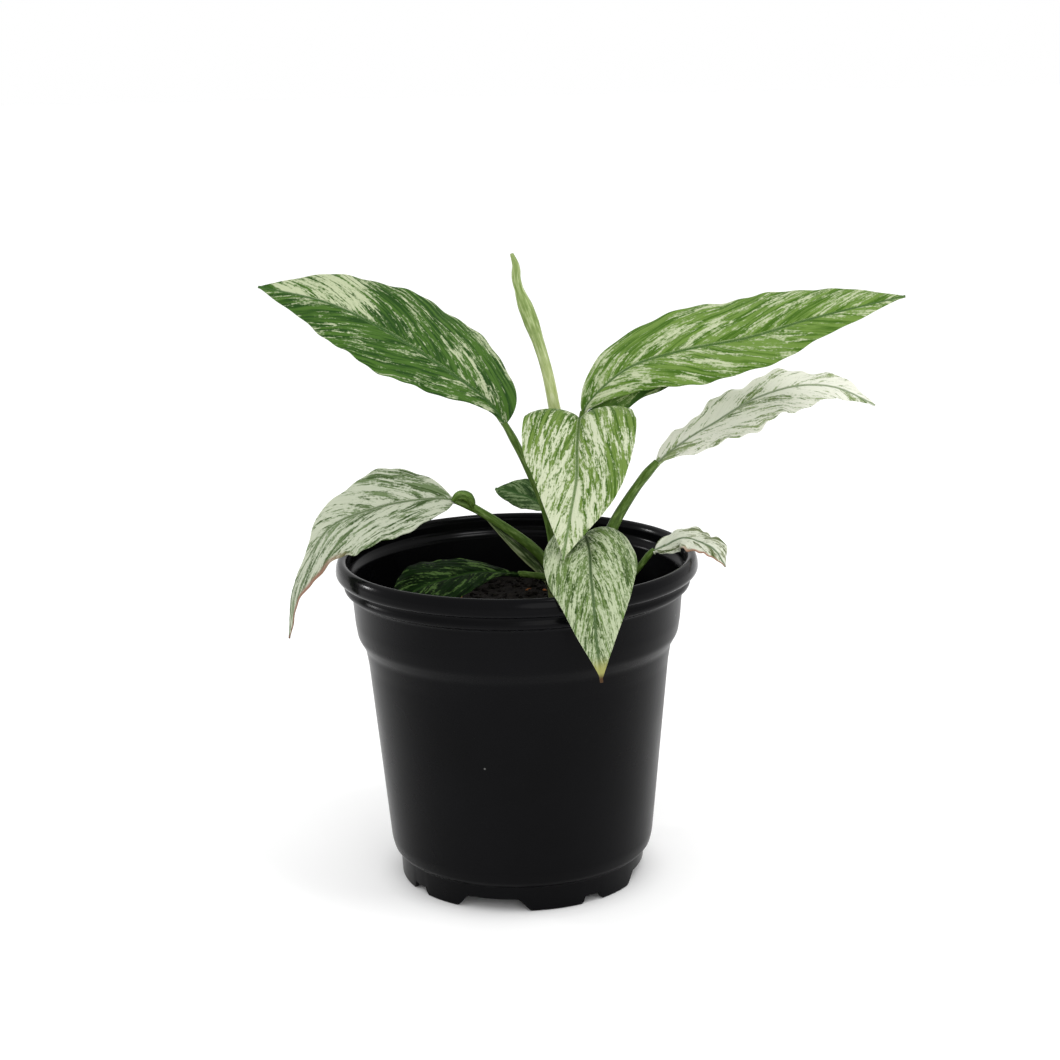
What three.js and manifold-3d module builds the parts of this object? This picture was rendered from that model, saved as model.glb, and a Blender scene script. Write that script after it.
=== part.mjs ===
// Variegated peace lily in a black nursery pot. Millimetres, +Z up, the viewer's side is -Y.
import * as THREE from "three";
import { mergeVertices } from "three/addons/utils/BufferGeometryUtils.js";
import Module from "manifold-3d";

// Driving dimensions
const POT_HEIGHT = 110; // feet to the crest of the rim
const LIP_RADIUS = 60; // outermost edge of the rolled lip
const FOOT_RADIUS = 41; // outside of the ring the pot stands on
const COLLAR_HEIGHT = 30; // rim crest down to the foot of the wide collar
const POT_WALL = 1.4;
const SOIL_BELOW_RIM = 21;
const BLADE_THICKNESS = 0.8;
const STALK_RADIUS = 1.9; // leaf stalk halfway up
const FIT_GAP = 0.3; // clearance between pieces that touch

// Sizes that follow from them
const LIP_OVERHANG = 5.5; // lip outside the collar wall
const COLLAR_RADIUS = LIP_RADIUS - LIP_OVERHANG;
const COLLAR_STEP = 3.8; // collar outside the tapered wall below it
const BASE_BULGE = 3.3; // tapered wall outside the foot ring, just above the feet
const FOOT_HEIGHT = 8.4;
const FLOOR_LIFT = 4.6; // underside of the floor above the ground
const SOIL_TOP = POT_HEIGHT - SOIL_BELOW_RIM;
const COLLAR_FOOT = POT_HEIGHT - COLLAR_HEIGHT;
const DESIGN_LIP_RADIUS = 60; // the leaf positions below are written for this pot
const DESIGN_SOIL_DEPTH = 21;
const REACH = LIP_RADIUS / DESIGN_LIP_RADIUS;

// Crown of the plant, off the pot's axis
const CROWN_X = 20 * REACH;
const CROWN_Y = 3 * REACH;
const STALK_RING = 7.4; // radius of the ring the leaf stalks stand on
const STOUTEST = 1.15; // stoutest stalk, over STALK_RADIUS
const STALK_FOOT = 1.35; // stalk radius at the foot, over its radius halfway up
const STALK_HEAD = 0.65; // and at the blade
const CROWN_MARGIN = 0.15; // crown outside the stoutest stalk's foot
const CROWN_RADIUS = STALK_RING + STOUTEST * STALK_FOOT * STALK_RADIUS + CROWN_MARGIN;
const CROWN_RISE = 5; // above the soil
const CROWN_DEPTH = 14; // below the soil

const TURN = 2 * Math.PI;
const LAST = 0.9999; // keeps a share of 1 inside the last span
const mix = THREE.MathUtils.lerp;
const wasm = await Module();
wasm.setup();

function solid(geometry) {
  const g = geometry.index ? geometry.toNonIndexed() : geometry.clone();
  g.deleteAttribute("normal");
  g.deleteAttribute("uv");
  const merged = mergeVertices(g, 1e-3);
  return new wasm.Manifold(
    new wasm.Mesh({
      numProp: 3,
      vertProperties: merged.attributes.position.array,
      triVerts: new Uint32Array(merged.index.array),
    }),
  );
}

function geometryOf(manifold) {
  const m = manifold.getMesh();
  const g = new THREE.BufferGeometry();
  g.setAttribute("position", new THREE.BufferAttribute(m.vertProperties, 3));
  g.setIndex(new THREE.BufferAttribute(m.triVerts, 1));
  const flat = g.toNonIndexed();
  flat.computeVertexNormals();
  return flat;
}

const plant = new THREE.Group();
plant.name = "potted_peace_lily";

function addPiece(name, shape, material) {
  const geometry = shape.isBufferGeometry ? shape : geometryOf(shape);
  const mesh = new THREE.Mesh(geometry, material);
  mesh.name = name;
  plant.add(mesh);
}

const finish = (color, roughness) =>
  new THREE.MeshStandardMaterial({ color, roughness, metalness: 0 });
const blackPlastic = finish(0x1a1b1d, 0.38);
const pottingMix = finish(0x17120e, 0.95);
const crownTissue = finish(0xb9b48a, 0.7);
const stalkGreen = finish(0x55702f, 0.45);
const spearGreen = finish(0xafb985, 0.5);

// Geometry from a list of corners and a list of triangles into it.
function facets(points, index) {
  const g = new THREE.BufferGeometry();
  g.setAttribute("position", new THREE.Float32BufferAttribute(points.flatMap((p) => [p.x, p.y, p.z]), 3));
  g.setIndex(index);
  return g;
}

// Closed skin through rings of equal count, capped at both ends by a strip.
function skin(rings) {
  const count = rings[0].length;
  const index = [];
  for (let r = 0; r + 1 < rings.length; r++) {
    for (let k = 0; k < count; k++) {
      const a = r * count + k;
      const b = r * count + ((k + 1) % count);
      index.push(a, b, b + count, a, b + count, a + count);
    }
  }
  const last = (rings.length - 1) * count;
  for (let k = 0; k + 1 < count / 2; k++) {
    const [a, b, c, d] = [k, k + 1, count - 2 - k, count - 1 - k];
    index.push(a, c, b, a, d, c);
    index.push(last + a, last + b, last + c, last + a, last + c, last + d);
  }
  return facets(rings.flat(), index);
}

// Value a share s of the way along an evenly spaced list.
function along(values, s) {
  const place = Math.min(s, LAST) * (values.length - 1);
  const k = Math.floor(place);
  return mix(values[k], values[k + 1], place - k);
}

// ---- Pot ----
const POT_SEGMENTS = 48;
const HOLE_SEGMENTS = 16;

// Outside of the pot from the feet up to the crest, as radius and height.
const wallTop = COLLAR_RADIUS - COLLAR_STEP;
const wallFoot = FOOT_RADIUS + BASE_BULGE;
const outerProfile = [
  [FOOT_RADIUS, 0],
  [FOOT_RADIUS + 0.5, FOOT_HEIGHT],
  [FOOT_RADIUS + 1.3, FOOT_HEIGHT + 0.5],
  [FOOT_RADIUS + 2.5, FOOT_HEIGHT + 1.8],
  [wallFoot, FOOT_HEIGHT + 5],
  [wallTop - 0.7, COLLAR_FOOT - 6],
  [wallTop + 0.3, COLLAR_FOOT],
  [COLLAR_RADIUS - 1.2, COLLAR_FOOT + 4],
  [COLLAR_RADIUS - 0.5, COLLAR_FOOT + 8.5],
  [COLLAR_RADIUS + 0.3, POT_HEIGHT - 11.2],
  [COLLAR_RADIUS + 2.6, POT_HEIGHT - 10.2],
  [COLLAR_RADIUS + 3, POT_HEIGHT - 9],
  [COLLAR_RADIUS + 2.4, POT_HEIGHT - 7.6],
  [COLLAR_RADIUS + 2.4, POT_HEIGHT - 6.6],
  [LIP_RADIUS - 0.6, POT_HEIGHT - 5.8],
  [LIP_RADIUS, POT_HEIGHT - 4.6],
  [LIP_RADIUS - 0.2, POT_HEIGHT - 2.4],
  [LIP_RADIUS - 0.9, POT_HEIGHT - 0.7],
  [LIP_RADIUS - 2, POT_HEIGHT],
];

// Inside of the pot from the crest down to the floor.
const floorTop = FLOOR_LIFT + POT_WALL;
const innerProfile = [
  [LIP_RADIUS - 3.4, POT_HEIGHT - 0.5],
  [LIP_RADIUS - 4, POT_HEIGHT - 2],
  [LIP_RADIUS - 4.2, POT_HEIGHT - 5.4],
  [COLLAR_RADIUS - POT_WALL + 0.8, POT_HEIGHT - 7],
  [COLLAR_RADIUS - POT_WALL - 0.4, COLLAR_FOOT + 9.5],
  [COLLAR_RADIUS - POT_WALL - 1.3, COLLAR_FOOT + 4.6],
  [wallTop - POT_WALL, COLLAR_FOOT],
  [wallFoot - POT_WALL, FOOT_HEIGHT + 5.5],
  [FOOT_RADIUS + 0.9 - POT_WALL, FOOT_HEIGHT + 0.5],
  [FOOT_RADIUS + 0.3 - POT_WALL, floorTop],
];
const lathe = (points, segments) =>
  new THREE.LatheGeometry(
    points.map(([r, z]) => new THREE.Vector2(r, z)),
    segments,
  ).rotateX(Math.PI / 2);

const footInside = FOOT_RADIUS - POT_WALL;
let pot = solid(
  lathe(
    [
      [0, FLOOR_LIFT],
      [footInside, FLOOR_LIFT],
      [footInside, 0],
      ...outerProfile,
      ...innerProfile,
      [0, floorTop],
    ],
    POT_SEGMENTS,
  ),
);

// Notches between the feet: wide and narrow by turns, angles in degrees from the front (-Y).
const NOTCH_COUNT = 4;
const notchKinds = [
  { centre: -14, wide: 25, narrow: 17.5, height: 4 },
  { centre: 34, wide: 7.6, narrow: 6, height: 2.4 },
];
const NOTCH_REACH = 12; // radial length of the cut
const NOTCH_START = 1; // below the feet
for (const { centre, wide, narrow, height } of notchKinds) {
  const outline = new THREE.Shape([
    new THREE.Vector2(-wide / 2, -NOTCH_START),
    new THREE.Vector2(wide / 2, -NOTCH_START),
    new THREE.Vector2(narrow / 2, height),
    new THREE.Vector2(-narrow / 2, height),
  ]);
  for (let k = 0; k < NOTCH_COUNT; k++) {
    const cut = new THREE.ExtrudeGeometry(outline, { depth: NOTCH_REACH, bevelEnabled: false })
      .rotateX(Math.PI / 2)
      .translate(0, -(footInside - NOTCH_REACH / 2), 0)
      .rotateZ(THREE.MathUtils.degToRad(centre + (k * 360) / NOTCH_COUNT));
    pot = pot.subtract(solid(cut));
  }
}

// Drainage holes through the floor.
const DRAIN_COUNT = 8;
const DRAIN_RADIUS = 4;
const DRAIN_RING = 0.72 * FOOT_RADIUS;
const drain = (x, y) =>
  solid(
    new THREE.CylinderGeometry(DRAIN_RADIUS, DRAIN_RADIUS, 4 * POT_WALL, HOLE_SEGMENTS)
      .rotateX(Math.PI / 2)
      .translate(x, y, FLOOR_LIFT + POT_WALL / 2),
  );
pot = pot.subtract(drain(0, 0));
for (let k = 0; k < DRAIN_COUNT; k++) {
  const turn = (k * TURN) / DRAIN_COUNT;
  pot = pot.subtract(drain(DRAIN_RING * Math.cos(turn), DRAIN_RING * Math.sin(turn)));
}
addPiece("nursery_pot", pot, blackPlastic);

// ---- Soil and crown ----
// Sweeps a round section of changing radius along points.
function roundBar(points, radiusAt, sides, steps) {
  const curve = new THREE.CatmullRomCurve3(points);
  const rings = [];
  let side = null;
  for (let i = 0; i <= steps; i++) {
    const s = i / steps;
    const centre = curve.getPointAt(s);
    const ahead = curve.getTangentAt(s);
    if (!side) side = new THREE.Vector3(Math.abs(ahead.x) < 0.8 ? 1 : 0, 1, 0);
    side.addScaledVector(ahead, -side.dot(ahead)).normalize();
    const up = new THREE.Vector3().crossVectors(ahead, side);
    const radius = radiusAt(s);
    rings.push(
      Array.from({ length: sides }, (_, k) => {
        const turn = (k * TURN) / sides;
        return centre
          .clone()
          .addScaledVector(side, radius * Math.cos(turn))
          .addScaledVector(up, radius * Math.sin(turn));
      }),
    );
  }
  return skin(rings);
}

const CROWN_SEGMENTS = 20;
const ROOT_COUNT = 7;
const ROOT_RADIUS = 1.6;
const ROOT_SIDES = 5;
const ROOT_STEPS = 6;
const ROOT_START = 5; // below the soil
const ROOT_END = 8; // above the floor
// Course of each root: share of the foot radius it has reached, and share of its way down.
const ROOT_COURSE = [[0.08, 0], [0.3, 0.12], [0.55, 0.4], [0.7, 0.9]];

// The crown and its roots, or, grown by a clearance, the room they take in the soil.
function crownSolid(grow) {
  const r = CROWN_RADIUS + grow;
  let body = solid(
    lathe(
      [
        [0, SOIL_TOP - CROWN_DEPTH - grow],
        [0.5 * r, SOIL_TOP - 0.85 * CROWN_DEPTH - grow],
        [0.9 * r, SOIL_TOP - 0.45 * CROWN_DEPTH],
        [r, SOIL_TOP],
        [0.9 * r, SOIL_TOP + 0.55 * CROWN_RISE + grow / 2],
        [0.5 * r, SOIL_TOP + 0.92 * CROWN_RISE + grow],
        [0, SOIL_TOP + CROWN_RISE + grow],
      ],
      CROWN_SEGMENTS,
    ).translate(CROWN_X, CROWN_Y, 0),
  );
  for (let k = 0; k < ROOT_COUNT; k++) {
    const turn = ((k + 0.5) * TURN) / ROOT_COUNT;
    const root = ROOT_COURSE.map(
      ([reach, depth]) =>
        new THREE.Vector3(
          CROWN_X * (1 - depth) + reach * FOOT_RADIUS * Math.cos(turn),
          CROWN_Y * (1 - depth) + reach * FOOT_RADIUS * Math.sin(turn),
          mix(SOIL_TOP - ROOT_START, floorTop + ROOT_END, depth),
        ),
    );
    const taper = (s) => ROOT_RADIUS * (1 - 0.5 * s) + grow;
    body = body.add(solid(roundBar(root, taper, ROOT_SIDES, ROOT_STEPS)));
  }
  return body;
}
const crown = crownSolid(0);
const crownRoom = crownSolid(FIT_GAP);
addPiece("crown_with_roots", crown, crownTissue);

// How far the soil's top stands above its mean level.
const heave = (x, y) =>
  0.8 * Math.sin(x / 6) * Math.cos(y / 7) + 0.5 * Math.sin((x + 2 * y) / 9);

// Soil fills the pot, its top slightly uneven.
const soilSide = innerProfile
  .filter(([, z]) => z < SOIL_TOP - 2)
  .map(([r, z]) => [r - FIT_GAP, Math.max(z, floorTop + FIT_GAP)])
  .reverse();
const soilRim = soilSide[soilSide.length - 1][0];
const SOIL_RINGS = [0.8, 0.6, 0.4, 0.2, 0];
const soilGeometry = lathe(
  [
    [0, floorTop + FIT_GAP],
    ...soilSide,
    [soilRim, SOIL_TOP - 1],
    [soilRim - 2, SOIL_TOP],
    ...SOIL_RINGS.map((share) => [share * soilRim, SOIL_TOP]),
  ],
  POT_SEGMENTS,
);
const soilPoints = soilGeometry.attributes.position;
for (let i = 0; i < soilPoints.count; i++) {
  const height = soilPoints.getZ(i);
  const lift = height < SOIL_TOP - 0.5 ? 0 : heave(soilPoints.getX(i), soilPoints.getY(i));
  soilPoints.setZ(i, height + lift);
}
addPiece("potting_soil", solid(soilGeometry).subtract(crownRoom), pottingMix);

// ---- Leaves ----
// A position by its distance right of and behind the pot's axis and its height over the rim.
// Heights below the rim inside the pot follow the depth of the soil.
function at([x, y, h]) {
  const inside = Math.hypot(x, y) < DESIGN_LIP_RADIUS - 6;
  const drop = inside && h < 0 ? (h * SOIL_BELOW_RIM) / DESIGN_SOIL_DEPTH : h;
  return new THREE.Vector3(x * REACH, y * REACH, POT_HEIGHT + drop);
}

// Each leaf:
// heading: where its stalk stands round the crown, in degrees from +X
// stout: radius of its stalk over STALK_RADIUS
// stalk, midrib: points along the stalk, then along the midrib from the blade's base to its tip
// faces: the way the upper face looks, evenly from base to tip
// left, right: each half's greatest width and how slowly it fills out and runs in (rise, fall)
// fold, curl: lift of each half at the midrib and how far it rolls down again, in radians
// cup: how much more both are at the base than at the tip
// wave, waves: height and number of the waves of its edge
const leaves = [
  {
    name: "upper_left",
    heading: 145,
    stout: 0.85,
    stalk: [[11, 8, 9], [4, 10, 27]],
    midrib: [[-3, 11, 41], [-8, 13, 48], [-23, 18, 59], [-43, 21, 72], [-61, 22, 81], [-84, 22, 87]],
    faces: [[0.6, -0.6, 0.5], [0.4, -0.6, 0.7], [0.3, -0.6, 0.75], [0.15, -0.6, 0.8]],
    left: [18, 1.25, 1.1], right: [23.4, 0.62, 1],
    fold: 0.25, curl: -0.5, cup: 0, wave: 0.8, waves: 4, color: 0x5e8039,
  },
  {
    name: "upper_right",
    heading: 65,
    stout: 0.95,
    stalk: [[22, 9, 8], [23, 11, 28]],
    midrib: [
      [23, 12, 44], [25, 12, 48], [38, 14, 58.5], [55, 13, 64],
      [78, 8, 69], [97, 2, 75.5], [126, -6, 83.5],
    ],
    faces: [[-0.6, -0.6, 0.5], [-0.3, -0.6, 0.75], [-0.3, -0.6, 0.75], [-0.2, -0.6, 0.8]],
    left: [18.5, 0.8, 1], right: [15.8, 0.9, 1.2],
    fold: 0.25, curl: -0.5, cup: 0, wave: 0.8, waves: 4, color: 0x8ba660,
  },
  {
    name: "mid_right",
    heading: 25,
    stout: 1.05,
    stalk: [[31, 5, 4], [38, 8, 16]],
    midrib: [
      [47, 10, 27], [58, 14, 34.5], [67, 17, 39], [80, 20, 46],
      [95, 22, 50], [108, 24, 49], [122, 25, 42.5],
    ],
    faces: [[-0.5, -0.5, 0.7], [-0.35, -0.5, 0.8], [-0.1, -0.5, 0.85], [0.1, -0.5, 0.85]],
    left: [9, 0.6, 0.7], right: [14, 1, 1.3],
    fold: 0.24, curl: -0.4, cup: 0, wave: 1.4, waves: 4, color: 0xc6cfb0,
  },
  {
    name: "mid_left",
    heading: 185,
    stout: STOUTEST,
    stalk: [[9, 0, -3], [-4, -3, 9.5]],
    midrib: [
      [-20, -6, 19.5], [-32, -7, 20], [-47, -9, 17.5], [-60, -11, 12.5],
      [-68, -13, 2], [-73, -14, -8], [-75, -14, -24],
    ],
    faces: [[0.1, -0.4, 0.9], [-0.1, -0.5, 0.85], [-0.5, -0.6, 0.6], [-0.9, -0.4, 0.2], [-0.9, -0.4, 0.1]],
    left: [19, 0.6, 1], right: [15, 1.1, 3.5],
    fold: 0.3, curl: -0.3, cup: 0, wave: 0.8, waves: 4, color: 0x9aa58a,
  },
  {
    name: "front_upper",
    heading: 265,
    stout: 0.95,
    stalk: [[21, -5, 8], [22, -3, 27]],
    midrib: [
      [21.5, 0, 41], [21.5, -6, 45.5], [21, -14, 46.5], [20, -22, 39.5],
      [19.5, -30, 31], [17.5, -38, 22.5], [14.5, -50, 10],
    ],
    faces: [[0, 0.6, 0.8], [0, 0, 1], [0, -0.7, 0.7], [0, -0.9, 0.4], [0, -0.9, 0.4], [-0.1, -0.9, 0.3]],
    left: [19.4, 0.43, 1.1], right: [18.5, 0.58, 1.27],
    fold: 0.4, curl: -0.6, cup: 0.55, wave: 0.8, waves: 4, color: 0x9fb17a,
  },
  {
    name: "front_lower",
    heading: 305,
    stout: 0.9,
    stalk: [[26, -9, -8], [24, -14, 0]],
    midrib: [
      [22, -20, 7], [22, -30, 12.5], [23, -42, 10], [23, -52, 6],
      [23.5, -60.5, -0.5], [24, -65, -10], [25.5, -67, -24.5],
    ],
    faces: [[0, 0.3, 0.95], [0, -0.3, 0.95], [0, -0.7, 0.75], [0, -0.9, 0.4], [0, -1, 0.1], [0, -1, 0.05]],
    left: [16.5, 0.48, 1.12], right: [16.1, 0.63, 1.32],
    fold: 0.3, curl: -0.95, cup: 1, wave: 0.5, waves: 3, color: 0x8b9d6c,
  },
  {
    name: "right_small",
    heading: 345,
    stout: 0.7,
    stalk: [[34, -1, -12], [40, -2, -6]],
    midrib: [[45, -2, 0], [49, -1, 1.5], [55, -1, 4], [61, -4, 3], [65, -6, 1], [68.5, -9, -4]],
    faces: [[-0.6, -0.6, 0.6], [-0.4, -0.4, 0.8], [0.1, -0.2, 0.95], [0.6, -0.6, 0.5], [0.9, -0.4, 0.1]],
    left: [7, 1, 0.8], right: [7, 0.8, 0.9],
    fold: 0.2, curl: -0.4, cup: 0, wave: 0.5, waves: 3, color: 0xa3a883,
  },
  {
    name: "low_left",
    heading: 225,
    stout: 0.7,
    stalk: [[12, -4, -9]],
    midrib: [[1, -9, -5], [-12, -13, -3], [-22, -19, -3.5], [-31, -25, -5], [-39, -30, -9]],
    faces: [[0, -0.3, 0.95], [0, -0.4, 0.9], [-0.1, -0.4, 0.9]],
    left: [10.6, 1.1, 0.6], right: [11.8, 1.1, 0.6],
    fold: 0.15, curl: -0.3, cup: 0, wave: 0.5, waves: 3, color: 0x203417,
  },
  {
    name: "back_small",
    heading: 105,
    stout: 0.65,
    stalk: [[20, 15, -5], [15, 19, 4]],
    midrib: [[10, 20, 10], [6.5, 22, 12.5], [-0.5, 24, 15], [-7, 26, 16]],
    faces: [[0.1, -0.5, 0.85], [0.1, -0.6, 0.8], [0, -0.6, 0.8]],
    left: [6, 0.5, 0.7], right: [7, 1, 1.2],
    fold: 0.2, curl: -0.3, cup: 0, wave: 0.3, waves: 2, color: 0x486236,
  },
];

const BLADE_STATIONS = 14;
const BLADE_HALF_CELLS = 3; // cells from the midrib to each edge
const CURVE_SAMPLES = 240;
const TIP_HALF_WIDTH = 0.5;
const STALK_SIDES = 8;
const STALK_STEPS = 10;
const SPEAR_STEPS = 20;

// Way the upper face looks at s, square to the midrib.
function faceAt(faces, s, ahead) {
  const [x, y, z] = [0, 1, 2].map((axis) => along(faces.map((face) => face[axis]), s));
  const face = new THREE.Vector3(x, y, z);
  return face.addScaledVector(ahead, -face.dot(ahead)).normalize();
}

// Half width over its greatest value: zero at both ends, one where the blade is fullest.
function fullness(s, rise, fall) {
  const top = rise / (rise + fall);
  return Math.pow(s / top, rise) * Math.pow((1 - s) / (1 - top), fall);
}

// One half of a blade's cross-section at s, from the midrib out: [point, way the upper face looks].
function halfSection(leaf, side, s, { centre, face, across, least }) {
  const [widest, rise, fall] = side < 0 ? leaf.left : leaf.right;
  const half = Math.max(widest * fullness(s, rise, fall), least);
  const open = half / widest;
  const cup = leaf.cup * Math.pow(1 - s, 3);
  const slopeAt = (u) => (leaf.fold + cup + (leaf.curl - 2 * cup) * u) * open;
  const cell = half / BLADE_HALF_CELLS;
  const row = [];
  let x = 0;
  let z = 0;
  for (let k = 0; k <= BLADE_HALF_CELLS; k++) {
    const u = k / BLADE_HALF_CELLS;
    const slope = slopeAt(u);
    const ripple = leaf.wave * open * u * u * Math.sin(TURN * leaf.waves * s + side);
    const spot = centre.clone().addScaledVector(across, side * x).addScaledVector(face, z + ripple);
    const out = face.clone().multiplyScalar(Math.cos(slope));
    out.addScaledVector(across, -side * Math.sin(slope));
    row.push([spot, out]);
    const next = slopeAt(u + 0.5 / BLADE_HALF_CELLS);
    x += cell * Math.cos(next);
    z += cell * Math.sin(next);
  }
  return row;
}

// Closed ring round a blade at s: the upper face from left to right, then the lower face back.
function bladeRing(leaf, s, frame) {
  const left = halfSection(leaf, -1, s, frame).reverse().slice(0, -1);
  const row = [...left, ...halfSection(leaf, 1, s, frame)];
  const offset = (amount) => row.map(([spot, out]) => spot.clone().addScaledVector(out, amount));
  return [...offset(BLADE_THICKNESS / 2), ...offset(-BLADE_THICKNESS / 2).reverse()];
}

for (const leaf of leaves) {
  const turn = THREE.MathUtils.degToRad(leaf.heading);
  const ringX = CROWN_X + STALK_RING * Math.cos(turn);
  const ringY = CROWN_Y + STALK_RING * Math.sin(turn);
  const foot = [
    new THREE.Vector3(ringX, ringY, SOIL_TOP),
    new THREE.Vector3(ringX, ringY, SOIL_TOP + CROWN_RISE),
  ];
  const points = [...foot, ...leaf.stalk.map(at), ...leaf.midrib.map(at)];
  const curve = new THREE.CatmullRomCurve3(points);
  curve.arcLengthDivisions = CURVE_SAMPLES;
  const lengths = curve.getLengths();
  const whole = lengths[CURVE_SAMPLES];
  const baseShare = (foot.length + leaf.stalk.length) / (points.length - 1);
  const base = lengths[Math.round(baseShare * CURVE_SAMPLES)] / whole;

  const stalkRadius = leaf.stout * STALK_RADIUS;
  const rings = [];
  for (let i = 0; i <= BLADE_STATIONS; i++) {
    const s = i / BLADE_STATIONS;
    const share = mix(base, 1, s);
    const centre = curve.getPointAt(share);
    const ahead = curve.getTangentAt(share);
    const face = faceAt(leaf.faces, s, ahead);
    const across = new THREE.Vector3().crossVectors(ahead, face);
    const least = mix(STALK_HEAD * stalkRadius, TIP_HALF_WIDTH, s);
    rings.push(bladeRing(leaf, s, { centre, face, across, least }));
  }
  addPiece("blade_" + leaf.name, solid(skin(rings)), finish(leaf.color, 0.5));

  const stalkEnd = base - FIT_GAP / whole;
  const stalkPoints = [];
  for (let i = 0; i <= STALK_STEPS; i++) {
    stalkPoints.push(curve.getPointAt((stalkEnd * i) / STALK_STEPS));
  }
  const taper = (s) => stalkRadius * along([STALK_FOOT, 1, STALK_HEAD], s);
  const stalk = solid(roundBar(stalkPoints, taper, STALK_SIDES, STALK_STEPS));
  addPiece("stalk_" + leaf.name, stalk.subtract(crownRoom), stalkGreen);
}

// New leaf, still rolled into a spear.
const spearPath = [
  [20, 3, -20], [20, 3, -12], [19, 4, 8], [16, 4, 33], [13, 4, 50], [11, 5, 60], [8.5, 5, 69],
  [5.5, 5, 78], [3, 5, 85], [1.5, 5, 90], [1, 4, 98.5],
].map(at);
const SPEAR_RADII = [2.8, 2.1, 1.7, 1.5, 1.5, 1.9, 2, 1.8, 1.4, 0.7]; // evenly from foot to tip
const spearTaper = (s) => along(SPEAR_RADII, s);
const spear = solid(roundBar(spearPath, spearTaper, STALK_SIDES, SPEAR_STEPS));
addPiece("rolled_new_leaf", spear.subtract(crownRoom), spearGreen);

// The part's frame: origin at the middle of the underside of its bounding box.
const box = new THREE.Box3().setFromObject(plant);
const middle = box.getCenter(new THREE.Vector3());
plant.position.set(-middle.x, -middle.y, -box.min.z);
const part = new THREE.Group();
part.add(plant);

export default part;
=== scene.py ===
import math
import random

import bpy
import numpy as np
from mathutils import Matrix, Vector, noise


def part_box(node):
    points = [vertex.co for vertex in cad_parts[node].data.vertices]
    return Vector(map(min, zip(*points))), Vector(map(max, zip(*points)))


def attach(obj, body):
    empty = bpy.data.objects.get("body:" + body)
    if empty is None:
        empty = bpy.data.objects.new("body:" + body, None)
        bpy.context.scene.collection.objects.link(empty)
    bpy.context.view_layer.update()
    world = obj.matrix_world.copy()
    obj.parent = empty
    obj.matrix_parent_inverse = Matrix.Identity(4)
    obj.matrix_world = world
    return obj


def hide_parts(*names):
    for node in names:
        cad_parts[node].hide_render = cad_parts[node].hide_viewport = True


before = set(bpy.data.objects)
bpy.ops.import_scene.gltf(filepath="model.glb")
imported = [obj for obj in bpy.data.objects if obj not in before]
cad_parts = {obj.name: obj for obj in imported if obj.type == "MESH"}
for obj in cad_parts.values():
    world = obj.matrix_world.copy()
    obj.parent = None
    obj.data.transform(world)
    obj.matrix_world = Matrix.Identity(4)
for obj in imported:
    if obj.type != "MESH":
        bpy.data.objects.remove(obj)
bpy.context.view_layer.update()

# Looks of the potted peace lily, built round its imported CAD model.
# The frame is in metres, +Z up, with the viewer on the -Y side.

MM = 0.001
TURN = 2 * math.pi
SEED = 11

# ---- Measures of the frame ----
# Everything below is in mm about the pot's axis, unless it says otherwise.
pot_low, pot_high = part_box("nursery_pot")
AXIS = Vector(((pot_low.x + pot_high.x) / 2, (pot_low.y + pot_high.y) / 2, 0))
LIP = (pot_high.x - pot_low.x) / 2 / MM  # radius of the rolled lip
HEIGHT = pot_high.z / MM
REACH = LIP / 60  # the leaves are written for a lip of 60
SOIL_TOP = HEIGHT - 21
FOOT = 41  # radius of the foot ring
FOOT_HEIGHT = 8.4
WALL = 1.4
COLLAR = LIP - 5.5
COLLAR_FOOT = HEIGHT - 30
FLOOR = 4.6  # underside of the pot's floor
CROWN = (20 * REACH, 3 * REACH)
CROWN_RADIUS = 10.5
CROWN_RISE = 5
CROWN_DEPTH = 14
STALK_RADIUS = 1.9


# ---- Meshes ----
def place(points):
    """Points in mm about the pot's axis, as metres in the frame."""
    return np.asarray(points, float) * MM + np.array([AXIS.x, AXIS.y, 0.0])


def make_object(name, points, faces, material, sharp=40.0, attributes=None):
    """A piece of the plant from points in mm. sharp is the angle of the edges that stay crisp."""
    mesh = bpy.data.meshes.new(name)
    mesh.from_pydata(place(points).tolist(), [], [list(map(int, f)) for f in faces])
    mesh.update()
    for key, values in (attributes or {}).items():
        layer = mesh.attributes.new(key, "FLOAT_VECTOR", "POINT")
        layer.data.foreach_set("vector", np.asarray(values, np.float32).ravel())
    mesh.shade_smooth()
    mesh.set_sharp_from_angle(angle=math.radians(sharp))
    obj = bpy.data.objects.new(name, mesh)
    bpy.context.scene.collection.objects.link(obj)
    mesh.materials.append(material)
    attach(obj, "root")
    return obj


def ring_faces(rows, count, closed_rows=False, cap_ends=True):
    """Quads between rings of equal count, with a flat cap on each end ring."""
    faces = []
    last = rows if closed_rows else rows - 1
    for r in range(last):
        a0, b0 = r * count, ((r + 1) % rows) * count
        for k in range(count):
            n = (k + 1) % count
            faces.append((a0 + k, a0 + n, b0 + n, b0 + k))
    if cap_ends and not closed_rows:
        faces.append(tuple(range(count))[::-1])
        faces.append(tuple((rows - 1) * count + k for k in range(count)))
    return faces


def make_bar(name, rings, material, sharp=40.0, attributes=None):
    """A piece from a stack of rings, capped at both ends."""
    faces = ring_faces(*rings.shape[:2])
    return make_object(name, rings.reshape(-1, 3), faces, material, sharp, attributes)


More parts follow.
